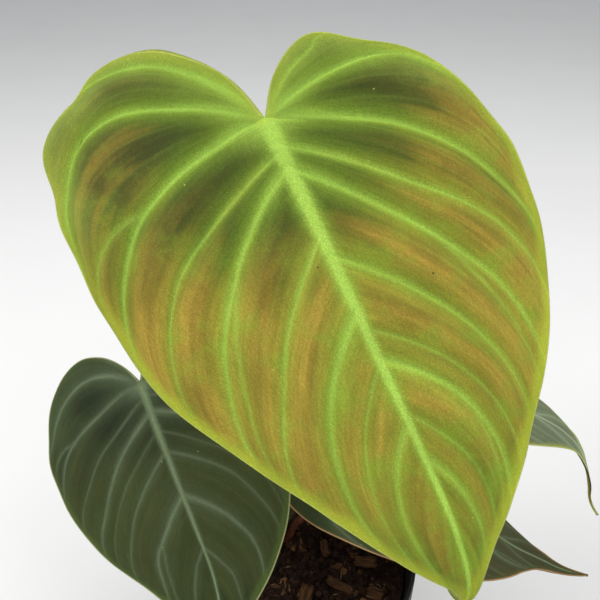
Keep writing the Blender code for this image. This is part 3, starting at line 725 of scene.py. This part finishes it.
def side_vein_fields(blade, points, half):
    """Nearness to the side veins, their glow, and distance from the nearest valley that they make."""
    near_joint = 1.5 * np.exp(-np.linalg.norm(points, axis=1) / (16 * MM))
    vein = np.zeros(len(points))
    halo = np.zeros(len(points))
    valley = np.full(len(points), 1e9)
    for line, strength, sinks in vein_lines(blade, half):
        gap, where = nearest(points, line)
        ends = np.clip((1 - where) / 0.06, 0, 1) * (1 if sinks else np.clip(where / 0.15, 0, 1))
        fade = (0.12 + 0.73 * strength) * (1 - 0.5 * where ** 2) * ends
        flare = near_joint + 0.5 * np.exp(-where / 0.08)
        width = (0.34 + 1.05 * strength * (1 - 0.78 * where) + flare * strength) * MM * blade.scale
        if not sinks:
            vein = np.maximum(vein, fade * 0.5 * np.exp(-(gap / width) ** 2))
            continue
        vein = np.maximum(vein, fade * np.exp(-(gap / width) ** 2))
        halo = np.maximum(halo, fade * np.exp(-(gap / ((4.2 - 1.6 * where) * width)) ** 1.6))
        valley = np.minimum(valley, gap + (1 - strength) * 2.2 * MM + 2.2 * MM * where ** 3)
    return vein, halo, valley


def leaf_fields(blade, flat, half):
    """Relief and colouring values at flat points: everything that follows the veins and the margin."""
    points = flat.reshape(-1, 2)
    vein, halo, valley = side_vein_fields(blade, points, half)
    from_joint = np.linalg.norm(points, axis=1)
    along = np.clip(points[:, 1] / blade.length, 0, 1)
    rib_width = blade.rib_width * (1 - 0.86 * along ** 0.45)
    rib_gap = np.where(points[:, 1] >= 0, np.abs(points[:, 0]), from_joint)
    heart = np.exp(-(from_joint / (8 * MM * blade.scale)) ** 2)
    vein = np.maximum(np.maximum(vein, 0.85 * heart), np.exp(-(rib_gap / (1.15 * rib_width)) ** 2))
    halo = np.maximum(np.maximum(halo, heart), np.exp(-(rib_gap / (2.4 * rib_width)) ** 2))
    valley = np.minimum(valley, rib_gap)
    margin = blade.margins[half] * ((1, -1)[half], 1)
    edge, _ = nearest(points, margin[::4])
    return {"vein": vein, "halo": halo, "valley": valley, "edge": edge / MM, "along": along,
            "rib": np.exp(-(rib_gap / rib_width) ** 4),
            "deep": np.exp(-(from_joint / (0.30 * blade.length)) ** 2),
            "middle": 1 - np.exp(-valley / (PANEL_REACH * blade.scale))}


def leaf_relief(fields, scale, quilt):
    """Height of the blade's surface: panels puff up between sunken veins and the midrib is a rounded bead."""
    valley = np.sqrt(fields["valley"] ** 2 + (0.5 * MM) ** 2)
    puff = quilt * (1 - np.exp(-valley / (PANEL_REACH * scale)))
    near_edge = 1 - np.exp(-fields["edge"] / (5 * scale))
    bead = 0.75 * MM * scale * fields["rib"] * (1 - 0.6 * fields["along"])
    return puff * near_edge + bead


def undulation(points, size, height):
    """Slow unevenness of a grown surface."""
    return np.array([noise.noise(Vector((x / size, y / size, 5.1))) for x, y in points]) * height


def leaf_surfaces(blade, leaf, flat, fields):
    """Lift of the upper and of the lower surface off the bent blade."""
    scale = blade.scale
    points = flat.reshape(-1, 2)
    height = leaf_relief(fields, scale, leaf["quilt"])
    ripple = leaf["ripple"] * lobe_ripple(points / leaf["length"], fields["edge"])
    upper = height + ripple + undulation(points, 19 * MM, 1.3 * MM * scale)
    thickness = BLADE_THICKNESS * (1 - 0.65 * np.exp(-fields["edge"] / 1.2))
    raised = fields["rib"] + 0.35 * fields["vein"] * np.clip(fields["edge"] / 4, 0, 1)
    return upper, upper - thickness - raised * MM * scale


def build_blade(title, leaf, look):
    """Two halves of two sheets each, closed along the margin, at the notch and at the tip."""
    blade = Blade(leaf)
    stations, walk = blade.stations()
    steps = np.linspace(0, 1, ROWS + 1)
    shares = 0.55 * steps + 0.45 * (0.5 - 0.5 * np.cos(math.pi * steps))
    grid = np.meshgrid(stations, shares, indexing="ij")
    tall, wide = grid[0].shape
    sheet = tall * wide
    corners = []
    faces = []
    values = {name: [] for name in LEAF_FIELDS}
    ribs = []
    for half in (0, 1):
        flat = blade.rib(half, *grid)
        fields = leaf_fields(blade, flat, half)
        top = 2 * half * sheet
        for side, lift in enumerate(leaf_surfaces(blade, leaf, flat, fields)):
            fields["under"] = np.full(sheet, float(side))
            corners.append(blade.in_space(flat.reshape(-1, 2), lift))
            for name in LEAF_FIELDS:
                values[name].append(fields[name])
            ribs.append(np.stack([np.repeat(walk, wide) + half * leaf["length"], rib_run(flat)], -1))
            faces += grid_faces(top + side * sheet, tall, wide, half == side)
        margin = [top + row * wide + wide - 1 for row in range(tall)]
        notch = list(range(top, top + wide))
        tip = list(range(top + sheet - wide, top + sheet))
        for line, flip in ((margin, half == 1), (notch, half == 0), (tip, half == 1)):
            rim_faces(faces, line, sheet, flip)
    mesh = new_mesh(title, np.vstack(corners), faces)
    for name, parts in values.items():
        store(mesh, name, parts)
    layer = mesh.uv_layers.new(name="ribs")
    loops = np.zeros(len(mesh.loops), dtype=np.int32)
    mesh.loops.foreach_get("vertex_index", loops)
    layer.data.foreach_set("uv", np.vstack(ribs)[loops].ravel())
    weld(mesh, WELD)
    add_piece(f"{title}_blade", mesh, look, f"{title}_leaf")
    return blade


def rib_run(flat):
    """Distance of every point from the midrib, measured along its mesh line."""
    steps = np.linalg.norm(np.diff(flat, axis=1), axis=2)
    return np.pad(np.cumsum(steps, axis=1), ((0, 0), (1, 0))).ravel()


def lobe_ripple(points, edge):
    """Waves, -1 to 1, that the margin makes at the left lobe. Points are shares of the blade's length."""
    across, along = points[:, 0], points[:, 1]
    at_margin = np.exp(-edge / 14)
    at_lobe = np.exp(-((across - 0.42) / 0.16) ** 2 - ((along + 0.12) / 0.16) ** 2)
    return at_margin * at_lobe * np.sin(along * 34 + 1.2)


def build_leaves():
    looks = {"newest": leaf_look("new_velvet", NEW_TONES, 1.0, 0.03),
             "left": leaf_look("dark_velvet", LEFT_TONES, 0.6, 0.08),
             "front": leaf_look("olive_velvet", FRONT_TONES, 0.7, 0.1),
             # the back leaf's lighter, greyer colours are a painted sheen
             "back": leaf_look("sheen_greyed_velvet", BACK_SHEEN_TONES, 0.6, 0.15)}
    green = skin_look("green_stalk", srgb(98, 124, 44), srgb(164, 184, 104), srgb(72, 96, 34), 0.42,
                      fleck=0.55, foot=srgb(112, 50, 32))
    red = skin_look("red_stalk", srgb(118, 60, 38), srgb(160, 104, 68), srgb(88, 40, 26), 0.42,
                    fleck=0.4, foot=srgb(96, 40, 26))
    for title, leaf in LEAVES.items():
        blade = build_blade(title, leaf, looks[title])
        build_stalk(title, leaf, blade, red if title == "front" else green)


# --- stem, stalks, sheaths and roots ---

def sweep(path, radii, sides, shape=None):
    """A closed tube along a path. Its skin values are the unit circle and the distance along the path."""
    path = np.asarray(path, float)
    ahead = np.gradient(path, axis=0)
    ahead /= np.linalg.norm(ahead, axis=1)[:, None]
    side = np.cross(ahead[0], (0.31, 0.17, 0.93) if abs(ahead[0][2]) < 0.9 else (1, 0, 0))
    run = np.concatenate([[0], np.cumsum(np.linalg.norm(np.diff(path, axis=0), axis=1))])
    turn = 2 * math.pi * np.arange(sides) / sides
    rings = []
    skin = []
    for index, (point, direction) in enumerate(zip(path, ahead)):
        side = side - direction * (side @ direction)
        side /= np.linalg.norm(side)
        up = np.cross(direction, side)
        radius = radii[index] * (shape(turn, run[index] / run[-1]) if shape else np.ones(sides))
        circle = np.cos(turn)[:, None] * side + np.sin(turn)[:, None] * up
        rings.append(point + circle * radius[:, None])
        skin.append(np.stack([np.cos(turn), np.sin(turn), np.full(sides, run[index])], -1))
    count = len(path)
    vertices = np.vstack(rings + [path[:1], path[-1:]])
    skin = np.vstack(skin + [[[0, 0, 0]], [[0, 0, run[-1]]]])
    faces = []
    for ring in range(count - 1):
        for corner in range(sides):
            after = (corner + 1) % sides
            low, high = ring * sides, (ring + 1) * sides
            faces.append((low + corner, low + after, high + after, high + corner))
    last = (count - 1) * sides
    for corner in range(sides):
        after = (corner + 1) % sides
        faces.append((count * sides, after, corner))
        faces.append((count * sides + 1, last + corner, last + after))
    return vertices, faces, skin


def rounded_ends(share, sharpness):
    """Radius factor that closes both ends of a tube with a short round."""
    return np.sqrt(np.clip(1 - (1 - np.clip(np.minimum(share, 1 - share) * sharpness, 0, 1)) ** 2, 0.01, 1))


def add_tube(name, path, radii, sides, look, replaced, shape=None):
    vertices, faces, skin = sweep(path, radii, sides, shape)
    piece = add_piece(name, new_mesh(name, vertices, faces), look, replaced)
    add_skin(piece.data, skin)


def add_skin(mesh, skin):
    """Store where each point is on the piece's skin, and its share of the way along."""
    store(mesh, "skin", skin, "FLOAT_VECTOR")
    store(mesh, "along", skin[:, 2] / max(skin[:, 2].max(), MM))


def stem_point(rise):
    """Middle of the stem at a height above the mix, as it wanders from leaf to leaf."""
    side = STEM_LEAN * math.sin(math.pi * rise / STEM_HEIGHT)
    return above_mix((STEM_X + side, STEM_Y - 0.5 * side, rise))


def beside_stem(rise, direction, distance):
    angle = math.radians(direction)
    return stem_point(rise) + Vector((math.cos(angle), math.sin(angle), 0)) * distance


def soil_height(x, y):
    """Mean surface of the potting mix, lumpy and a little lower at the wall."""
    spot = Vector((x / SOIL_LUMP_SIZE, y / SOIL_LUMP_SIZE, 3.7))
    out = min(1.0, math.hypot(x, y) / RIM_RADIUS)
    return SOIL_LEVEL + SOIL_BUMP * noise.noise(spot) - 1.5 * MM * out ** 3


def build_stalk(title, leaf, blade, look):
    """A leaf stalk: clasping foot at the stem, slim channelled length and a thicker joint at the blade."""
    radius = leaf["stalk_radius"]
    rise = leaf["stalk_height"]
    direction = leaf["stalk_direction"]
    beside = STEM_RADIUS + radius + GAP
    joint, ahead, _, up = (Vector(part) for part in blade.midrib(np.array(0.0)))
    head = joint + ahead * 2.4 * MM - up * 1.3 * MM
    neck = head - up * (2.5 * radius) - ahead * (0.4 * radius)
    knots = [beside_stem(rise - 5 * MM, direction, 0.7 * STEM_RADIUS),
             beside_stem(rise + 2 * MM, direction, 0.9 * beside),
             beside_stem(rise + STALK_FOOT, direction, beside + 0.4 * MM),
             *(above_mix(point) for point in leaf["stalk_way"]), neck, head]
    share = np.linspace(0, 1, STALK_STEPS)
    foot = 1 + 0.55 * np.exp(-(share / 0.06) ** 2)
    knuckle = 1 + 0.28 * np.exp(-((share - 0.95) / 0.035) ** 2)
    wobble = np.array([noise.noise(Vector((place * 14, rise * 90, 2.3))) for place in share]) * 0.05
    radii = radius * (1 + (STALK_TAPER - 1) * share) * foot * knuckle * (1 + wobble)

    def channelled(turn, place):
        depth = 0.1 * min(1, place / 0.1) * min(1, (1 - place) / 0.1)
        return 1 - depth * np.exp(-((turn - math.pi) / 0.5) ** 2)

    add_tube(f"{title}_stalk", smooth_curve(knots, STALK_STEPS), radii * rounded_ends(share, 60), 24, look,
             f"{title}_leaf_stalk", channelled)


def build_stem():
    """The short stem with a ring and a scar at every leaf, corky towards the mix."""
    look = skin_look("green_stem", srgb(88, 104, 44), srgb(146, 152, 92), srgb(64, 74, 32), 0.55,
                     fleck=0.35, foot=srgb(96, 72, 44))
    rises = np.linspace(-STEM_DEPTH, STEM_HEIGHT, 220)
    path = [stem_point(rise) for rise in rises]
    share = (rises + STEM_DEPTH) / (STEM_DEPTH + STEM_HEIGHT)
    radii = STEM_RADIUS * np.interp(rises / STEM_HEIGHT, (-1, 0.4, 1), (1, 0.95, 0.7))
    for leaf in LEAVES.values():
        node = leaf["stalk_height"] - 3 * MM
        radii = radii + 0.55 * MM * np.exp(-((rises - node) / (0.8 * MM)) ** 2)
        radii = radii - 0.3 * MM * np.exp(-((rises - node - 2 * MM) / (0.9 * MM)) ** 2)

    def knobbly(turn, place):
        spots = [noise.noise(Vector((math.cos(a) * 1.7, math.sin(a) * 1.7, place * 13))) for a in turn]
        return 1 + 0.05 * np.array(spots)

    add_tube("main_stem", path, radii * rounded_ends(share, 40), 48, look, "stem", knobbly)


def build_bud():
    """The next leaf, still rolled up in its pointed sheath, with the overlap winding round it."""
    look = skin_look("young_bud", srgb(146, 118, 62), srgb(184, 168, 104), srgb(122, 66, 44), 0.4, fleck=0.25)
    tip = stem_point(STEM_HEIGHT)
    path = smooth_curve([tip + Vector((0, 0, 0.6 * MM)), tip + Vector((1, -1, 14)) * MM,
                         tip + Vector((3, -2, 30)) * MM], BUD_STEPS)
    share = np.linspace(0, 1, BUD_STEPS)
    radii = np.interp(share, (0, 0.12, 0.45, 0.8, 1), (2.3, 2.7, 2.3, 1.25, 0.4)) * MM

    def rolled(turn, place):
        seam = (turn - 5 * place + math.pi) % (2 * math.pi) - math.pi
        return 1 + 0.16 * np.exp(-(seam / 0.22) ** 2) - 0.1 * np.exp(-((seam - 0.55) / 0.25) ** 2)

    add_tube("rolled_bud", path, radii * rounded_ends(share, 14), 40, look, "bud", rolled)


def build_sheath(name, direction, foot, height, half_angle, seed, look):
    """A dry bract round the stem: a rippled fibrous sheet that narrows to a torn point."""
    columns = 40
    rows = 70
    side = np.linspace(-1, 1, columns + 1)
    shell = []
    skin = []
    for row in range(rows + 1):
        share = row / rows
        spread = half_angle * (1 - share ** 2) + 2
        for column in side:
            torn = 1 - 0.16 * share * abs(noise.noise(Vector((column * 9, seed, 0.4))))
            wave = noise.noise(Vector((column * 5, share * 1.5, seed)))
            ripple = 0.22 * MM * math.sin(column * 38 + 3 * wave) * (0.3 + share)
            reach = STEM_RADIUS + 3 * GAP + 4 * MM * share ** 2 + ripple + 1.1 * MM * wave * share
            angle = math.radians(direction + spread * column * (1 + 0.12 * wave))
            middle = stem_point(foot + height * share * torn)
            outward = Vector((math.cos(angle), math.sin(angle), 0))
            shell.append((middle + outward * reach, middle + outward * (reach + 0.35 * MM)))
            skin.append((column, share, height * share))
    count = len(shell)
    wide = columns + 1
    vertices = [inner for inner, _ in shell] + [outer for _, outer in shell]
    faces = grid_faces(0, rows + 1, wide, True) + grid_faces(count, rows + 1, wide, False)
    left = [row * wide for row in range(rows + 1)]
    right = [row * wide + columns for row in range(rows + 1)]
    bottom = list(range(wide))
    top = [rows * wide + column for column in range(wide)]
    for line, flip in ((left, False), (right, True), (bottom, True), (top, False)):
        rim_faces(faces, line, count, flip)
    piece = add_piece(name + "_fibres", new_mesh(name, vertices, faces), look, name)
    add_skin(piece.data, np.array(skin + skin))


def build_roots():
    """Two aerial roots that leave the stem and bend down to the mix."""
    look = skin_look("root", srgb(142, 104, 62), srgb(186, 156, 108), srgb(94, 62, 38), 0.7, fleck=0.3)
    for number, direction in enumerate((-125, 20)):
        foot = beside_stem(8 * MM, direction, 3.1 * STEM_RADIUS)
        foot.z = soil_height(foot.x, foot.y) - 0.5 * MM
        way = ((20 * MM, STEM_RADIUS - MM), (19 * MM, 1.5 * STEM_RADIUS), (15 * MM, 2.2 * STEM_RADIUS),
               (8 * MM, 2.9 * STEM_RADIUS))
        knots = [beside_stem(rise, direction, distance) for rise, distance in way] + [foot]
        path = smooth_curve(knots, ROOT_STEPS)
        share = np.linspace(0, 1, ROOT_STEPS)
        sway = np.array([[noise.noise(Vector((place * 7, number * 5, axis))) for axis in (0.2, 3.2, 6.2)]
                         for place in share]) * np.sin(math.pi * share)[:, None] * 0.9 * MM
        thick = np.array([noise.noise(Vector((place * 22, number * 3, 8.8))) for place in share])
        radii = (1.3 - 0.6 * share) * (1 + 0.16 * thick) * MM
        add_tube(f"hanging_root_{number + 1}", path + sway, radii * rounded_ends(share, 30), 20, look,
                 f"aerial_root_{number + 1}")


# --- pot, mix and bark ---

def lathe(profile, steps):
    """Turn (radius, height) points about Z. Points on the axis become single corners."""
    vertices = []
    rings = []
    turn = 2 * math.pi * np.arange(steps) / steps
    for radius, height in profile:
        first = len(vertices)
        if radius == 0:
            vertices.append((0, 0, height))
            rings.append([first] * steps)
        else:
            vertices.extend((radius * math.cos(a), radius * math.sin(a), height) for a in turn)
            rings.append(list(range(first, first + steps)))
    faces = []
    for low, high in zip(rings, rings[1:]):
        for corner in range(steps):
            after = (corner + 1) % steps
            face = (low[corner], low[after], high[after], high[corner])
            faces.append(tuple(dict.fromkeys(face)))
    return vertices, faces


def arc(centre, radius, start, end, steps=6):
    """Points of a rounded corner in a (radius, height) outline, angles in degrees."""
    return [(centre[0] + radius * math.cos(math.radians(a)), centre[1] + radius * math.sin(math.radians(a)))
            for a in np.linspace(start, end, steps)]


def inner_radius(height):
    """Radius of the pot's inner wall, which is one straight taper."""
    share = height / (POT_HEIGHT - RIM_BAND)
    return BASE_RADIUS - WALL + share * (WALL_TOP_RADIUS - BASE_RADIUS)


def build_pot():
    """Nursery pot: thin tapered wall, stiff rim band with a rounded lip, stacking ring and drain holes."""
    band_foot = POT_HEIGHT - RIM_BAND
    lip = 1.0 * MM
    slope = (WALL_TOP_RADIUS - BASE_RADIUS) / band_foot

    def wall(height, out=0.0):
        return (BASE_RADIUS + slope * height + out, height)

    ring = 0.28 * POT_HEIGHT
    profile = [(0, 0.6 * MM), (BASE_RADIUS - 7 * MM, 0.6 * MM), (BASE_RADIUS - 6 * MM, 0)]
    profile += arc((BASE_RADIUS - 1.2 * MM, 1.2 * MM), 1.2 * MM, -90, -8)
    profile += [wall(ring - MM), wall(ring, 0.35 * MM), wall(ring + MM, 0.35 * MM), wall(ring + 2 * MM)]
    profile += [wall(band_foot - 0.6 * MM), wall(band_foot, 0.5 * MM)]
    profile += arc((RIM_RADIUS - 0.8 * MM, band_foot + 0.8 * MM), 0.8 * MM, -90, 0)
    profile += [(RIM_RADIUS, band_foot + 5 * MM), (RIM_RADIUS - 0.35 * MM, band_foot + 5.6 * MM),
                (RIM_RADIUS - 0.35 * MM, POT_HEIGHT - 3.2 * MM), (RIM_RADIUS, POT_HEIGHT - 2.6 * MM)]
    profile += arc((RIM_RADIUS - lip, POT_HEIGHT - lip), lip, 0, 180 - 20, 10)
    profile += [(inner_radius(POT_HEIGHT - 3 * MM), POT_HEIGHT - 3 * MM), (inner_radius(60 * MM), 60 * MM)]
    profile += [(inner_radius(FLOOR + 2 * MM), FLOOR + 2 * MM), (inner_radius(FLOOR) - 2 * MM, FLOOR)]
    profile += [(0, FLOOR)]
    blank = new_object("pot_blank", new_mesh("pot_blank", *lathe(profile, POT_STEPS)))
    cutters = []
    for number in range(DRAIN_HOLES):
        angle = 2 * math.pi * number / DRAIN_HOLES
        cutters.append(drain_cutter(DRAIN_CIRCLE * math.cos(angle), DRAIN_CIRCLE * math.sin(angle)))
        boolean = blank.modifiers.new("drain", "BOOLEAN")
        boolean.operation = "DIFFERENCE"
        boolean.solver = "EXACT"
        boolean.object = cutters[-1]
    shell = taken(blank)
    for cutter in cutters:
        bpy.data.objects.remove(cutter)
    pot = add_piece("pot_shell", shell, plastic_look(), "nursery_pot")
    pot.data.set_sharp_from_angle(angle=math.radians(38))


def drain_cutter(x, y):
    low = -2 * MM
    high = FLOOR + 2 * MM
    vertices, faces = lathe([(0, low), (DRAIN_RADIUS, low), (DRAIN_RADIUS, high), (0, high)], DRAIN_STEPS)
    moved = [(across + x, deep + y, height) for across, deep, height in vertices]
    return new_object("drain_cutter", new_mesh("drain_cutter", moved, faces))


def lumpy(x, y):
    """Surface of the mix with its crumbs."""
    spot = Vector((x, y, 0)) / MM
    return (soil_height(x, y) + 0.7 * MM * noise.noise(spot / 4.5) + 0.55 * MM * noise.noise(spot / 1.9)
            - 0.2 * MM)


def build_mix(look):
    """The body of the potting mix: a lumpy top disc, a wall that follows the pot, and a flat bottom."""
    edge = inner_radius(SOIL_LEVEL - 3 * MM) - 2 * GAP
    rings = 64
    foot = FLOOR + GAP
    profile = [(0, SOIL_LEVEL)] + [(edge * ring / rings, SOIL_LEVEL) for ring in range(1, rings + 1)]
    for height in (0.8 * SOIL_LEVEL, 0.4 * SOIL_LEVEL, foot):
        profile.append((inner_radius(height) - 2 * GAP, height))
    vertices, faces = lathe((profile + [(0, foot)])[::-1], MIX_STEPS)
    vertices = [(x, y, lumpy(x, y)) if z > SOIL_LEVEL - MM else (x, y, z) for x, y, z in vertices]
    add_piece("mix_body", new_mesh("mix_body", vertices, faces), look, "potting_mix")


class Nodes:
    """A Geometry Nodes tree built node by node, with its sockets by name."""

    def __init__(self, title, sockets):
        self.tree = bpy.data.node_groups.new(title, "GeometryNodeTree")
        self.sockets = {}
        for name, direction, kind in sockets:
            self.sockets[name] = self.tree.interface.new_socket(name, in_out=direction, socket_type=kind)

    def add(self, kind, settings=None, **inputs):
        """A node whose inputs, by name or as socket_NUMBER, take a value or another node's output."""
        made = self.tree.nodes.new(kind)
        for key, value in (settings or {}).items():
            setattr(made, key, value)
        for key, value in inputs.items():
            number = key.removeprefix("socket_")
            socket = made.inputs[int(number) if number.isdigit() else key.replace("_", " ")]
            if isinstance(value, bpy.types.NodeSocket):
                self.tree.links.new(value, socket)
            else:
                socket.default_value = value
        return made

    def random(self, kind, low, high, seed):
        """A random vector or number between two limits, for each point."""
        first = {"FLOAT_VECTOR": 0, "FLOAT": 2}[kind]
        limits = {f"socket_{first}": low, f"socket_{first + 1}": high}
        made = self.add("FunctionNodeRandomValue", {"data_type": kind}, Seed=seed, **limits)
        return made.outputs[first // 2]

    def scaled(self, vector, scale):
        made = self.add("ShaderNodeVectorMath", {"operation": "SCALE"}, socket_0=vector, Scale=scale)
        return made.outputs[0]


def crumb_shape(nodes):
    return nodes.add("GeometryNodeMeshIcoSphere", Radius=1.0, Subdivisions=2).outputs["Mesh"]


def fibre_shape(nodes):
    rod = nodes.add("GeometryNodeMeshCylinder", Vertices=5, Side_Segments=6, Radius=0.045, Depth=2.0)
    lying = nodes.add("GeometryNodeTransform", Geometry=rod.outputs["Mesh"],
                      Rotation=(math.radians(90), 0, 0))
    return lying.outputs["Geometry"]


SCATTER_SOCKETS = (("Surface", "INPUT", "NodeSocketGeometry"), ("Density", "INPUT", "NodeSocketFloat"),
                   ("Smallest", "INPUT", "NodeSocketFloat"), ("Largest", "INPUT", "NodeSocketFloat"),
                   ("Seed", "INPUT", "NodeSocketInt"), ("Pieces", "OUTPUT", "NodeSocketGeometry"))
ALL_ROUND = 6.28                 # radians
# Loose pieces of the mix: how many to the square metre, their sizes, and how they lie and are roughened.
CRUMB = {"Density": 190000.0, "Smallest": 0.5 * MM, "Largest": 2.1 * MM, "Seed": 4, "shape": crumb_shape,
         "tilt": ALL_ROUND, "squat": (1.0, 0.55, 0.4), "noise": 420.0, "push": 2.6 * MM, "smooth": False}
FIBRE = {"Density": 20000.0, "Smallest": 2.5 * MM, "Largest": 5.5 * MM, "Seed": 9, "shape": fibre_shape,
         "tilt": 0.5, "squat": (1.0, 1.0, 1.0), "noise": 160.0, "push": 5.0 * MM, "smooth": True}


def scatter_nodes(title, look, kind):
    """Small solids thrown on a surface, each turned and sized at random, then roughened."""
    nodes = Nodes(title, SCATTER_SOCKETS)
    given = nodes.add("NodeGroupInput").outputs
    seed = given["Seed"]
    spots = nodes.add("GeometryNodeDistributePointsOnFaces", Mesh=given["Surface"], Density=given["Density"],
                      Seed=seed)
    tilt = kind["tilt"] / 2
    turn = nodes.random("FLOAT_VECTOR", (-tilt, -tilt, 0), (tilt, tilt, ALL_ROUND), seed)
    size = nodes.random("FLOAT", given["Smallest"], given["Largest"], seed)
    stretch = nodes.random("FLOAT_VECTOR", kind["squat"], (1.0, 1.0, 1.0), seed)
    placed = nodes.add("GeometryNodeInstanceOnPoints", Points=spots.outputs["Points"],
                       Instance=kind["shape"](nodes), Rotation=turn, Scale=nodes.scaled(stretch, size))
    solid = nodes.add("GeometryNodeRealizeInstances", Geometry=placed.outputs["Instances"])
    place = nodes.add("GeometryNodeInputPosition")
    rough = nodes.add("ShaderNodeTexNoise", Vector=place.outputs[0], Scale=kind["noise"], Detail=2.0)
    centred = nodes.add("ShaderNodeVectorMath", {"operation": "SUBTRACT"}, socket_0=rough.outputs["Color"],
                        socket_1=(0.5, 0.5, 0.5))
    shaped = nodes.add("GeometryNodeSetPosition", Geometry=solid.outputs[0],
                       Offset=nodes.scaled(centred.outputs[0], kind["push"]))
    dressed = nodes.add("GeometryNodeSetMaterial", Geometry=shaped.outputs[0], Material=look)
    nodes.add("NodeGroupOutput", Pieces=dressed.outputs[0])
    return nodes


def scatter(title, look, kind):
    nodes = scatter_nodes(title, look, kind)
    helper = new_object(title + "_bed", top_bed())
    throw = helper.modifiers.new("scatter", "NODES")
    throw.node_group = nodes.tree
    for name in ("Density", "Smallest", "Largest", "Seed"):
        throw[nodes.sockets[name].identifier] = kind[name]
    add_piece(title, taken(helper), look, "potting_mix", kind["smooth"])


def top_bed():
    """The visible top of the mix, a little inside the wall, as a bed for loose pieces."""
    rings = 40
    edge = inner_radius(SOIL_LEVEL) - 2.5 * MM
    vertices, faces = lathe([(edge * ring / rings, SOIL_LEVEL) for ring in range(rings + 1)], BED_STEPS)
    vertices = [(x, y, lumpy(x, y) + 0.1 * MM) for x, y, _ in vertices]
    return new_mesh("bed", vertices, [face[::-1] for face in faces])


def fine_copy(name):
    """A solid's mesh, copied and meshed finely."""
    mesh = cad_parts[name].data.copy()
    weld(mesh, WELD)
    helper = new_object(name + "_blank", mesh)
    fine = helper.modifiers.new("fine", "REMESH")
    fine.mode = "VOXEL"
    fine.voxel_size = FLAKE_MESH
    return taken(helper)


def point_values(mesh, field):
    values = np.zeros(3 * len(mesh.vertices))
    mesh.vertices.foreach_get(field, values)
    return values.reshape(-1, 3)


def build_flake(number, name, look):
    """A flake of bark worked up from its solid: furrowed along its fibres and torn at both ends."""
    mesh = fine_copy(name)
    points = point_values(mesh, "co")
    local = points - (points.min(0) + points.max(0)) / 2
    across, along = np.linalg.eigh(local[:, :2].T @ local[:, :2])[1].T
    length = local[:, :2] @ along
    width = local[:, :2] @ across
    grain = np.stack([length, width, local[:, 2]], -1)
    push = [0.5 * noise.noise(Vector((a / 5, b / 0.9, c / 0.8 + number)) / MM)
            + 0.75 * noise.noise(Vector((a / 4, b / 4, c / 4)) / MM + Vector((0, 0, number * 3)))
            for a, b, c in grain]
    torn = np.array([noise.noise(Vector((b / 0.7 / MM, c / 0.7 / MM, 4 + number))) for _, b, c in grain])
    ends = np.clip((np.abs(length) / np.abs(length).max() - 0.75) / 0.25, 0, 1)
    points = points + point_values(mesh, "normal") * np.array(push)[:, None] * MM
    points[:, :2] += np.outer(np.sign(length) * ends * torn * FLAKE_TEAR, along)
    mesh.vertices.foreach_set("co", points.ravel())
    piece = add_piece(f"flake_{number + 1:02d}", mesh, look, name)
    store(piece.data, "skin", grain, "FLOAT_VECTOR")


def build_flakes():
    look = bark_look()
    names = sorted(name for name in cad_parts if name.startswith("bark_chip"))
    for number, name in enumerate(names):
        build_flake(number, name, look)


def build_pot_and_mix():
    build_pot()
    body_look = mix_look("potting_mix", srgb(20, 13, 10), srgb(62, 42, 31), srgb(108, 78, 50), 0.06)
    crumb_look = mix_look("crumbs", srgb(24, 16, 12), srgb(74, 50, 37), srgb(136, 98, 60), 0.08)
    fibre_look = mix_look("fibres", srgb(52, 34, 22), srgb(124, 90, 58), srgb(150, 116, 76), 0.2)
    build_mix(body_look)
    scatter("mix_crumbs", crumb_look, CRUMB)
    scatter("mix_fibres", fibre_look, FIBRE)
    build_flakes()


def build_growth():
    build_stem()
    build_bud()
    papery = papery_look()
    build_sheath("dry_sheath_front", -88, 3 * MM, 26 * MM, 20, 1.7, papery)
    build_sheath("dry_sheath_back", 150, 4 * MM, 22 * MM, 14, 6.1, papery)
    build_roots()


# --- camera, floor and light ---

CAMERA_PLACE = (0.0025, -0.1836, 0.3882)
CAMERA_TILT = 55                 # degrees up from straight down
CAMERA_LENS = 37.2
LIGHTS = (("window", (-0.95, -0.2, 1.1), 0.8, 15), ("fill", (0.9, -0.2, 1.1), 1.3, 14))
LIGHTS_AIM = (0, 0, 0.2)
FLOOR_REACH = 4.0
SKY_COLOUR = (0.9, 0.93, 0.96, 1)
SKY_STRENGTH = 0.55


def build_camera():
    camera = bpy.data.cameras.new("camera")
    camera.lens = CAMERA_LENS
    camera.sensor_width = 36
    camera.clip_start = 0.01
    holder = new_object("camera", camera)
    holder.location = CAMERA_PLACE
    holder.rotation_euler = (math.radians(CAMERA_TILT), 0, 0)
    bpy.context.scene.camera = holder


def build_floor():
    look = Look("floor", roughness=0.8)
    tone = look.mix(look.noise(6, 2.0), srgb(222, 221, 219), srgb(228, 227, 225))
    reach = FLOOR_REACH
    corners = [(-reach, -reach, 0), (reach, -reach, 0), (reach, reach, 0), (-reach, reach, 0)]
    mesh = new_mesh("floor", corners, [(0, 1, 2, 3)])
    mesh.materials.append(look.finish(tone))
    floor = new_object("floor", mesh)


def build_lights():
    for name, place, size, power in LIGHTS:
        lamp = bpy.data.lights.new(name, "AREA")
        lamp.size = size
        lamp.energy = power
        holder = new_object(name, lamp)
        holder.location = place
        aim = Vector(LIGHTS_AIM) - Vector(place)
        holder.rotation_euler = aim.to_track_quat("-Z", "Y").to_euler()
    world = bpy.data.worlds.new("studio")
    world.use_nodes = True
    sky = world.node_tree.nodes["Background"].inputs
    sky["Color"].default_value = SKY_COLOUR
    sky["Strength"].default_value = SKY_STRENGTH
    bpy.context.scene.world = world
    bpy.context.scene.view_settings.view_transform = "Standard"


build_leaves()
build_growth()
build_pot_and_mix()
build_camera()
build_floor()
build_lights()
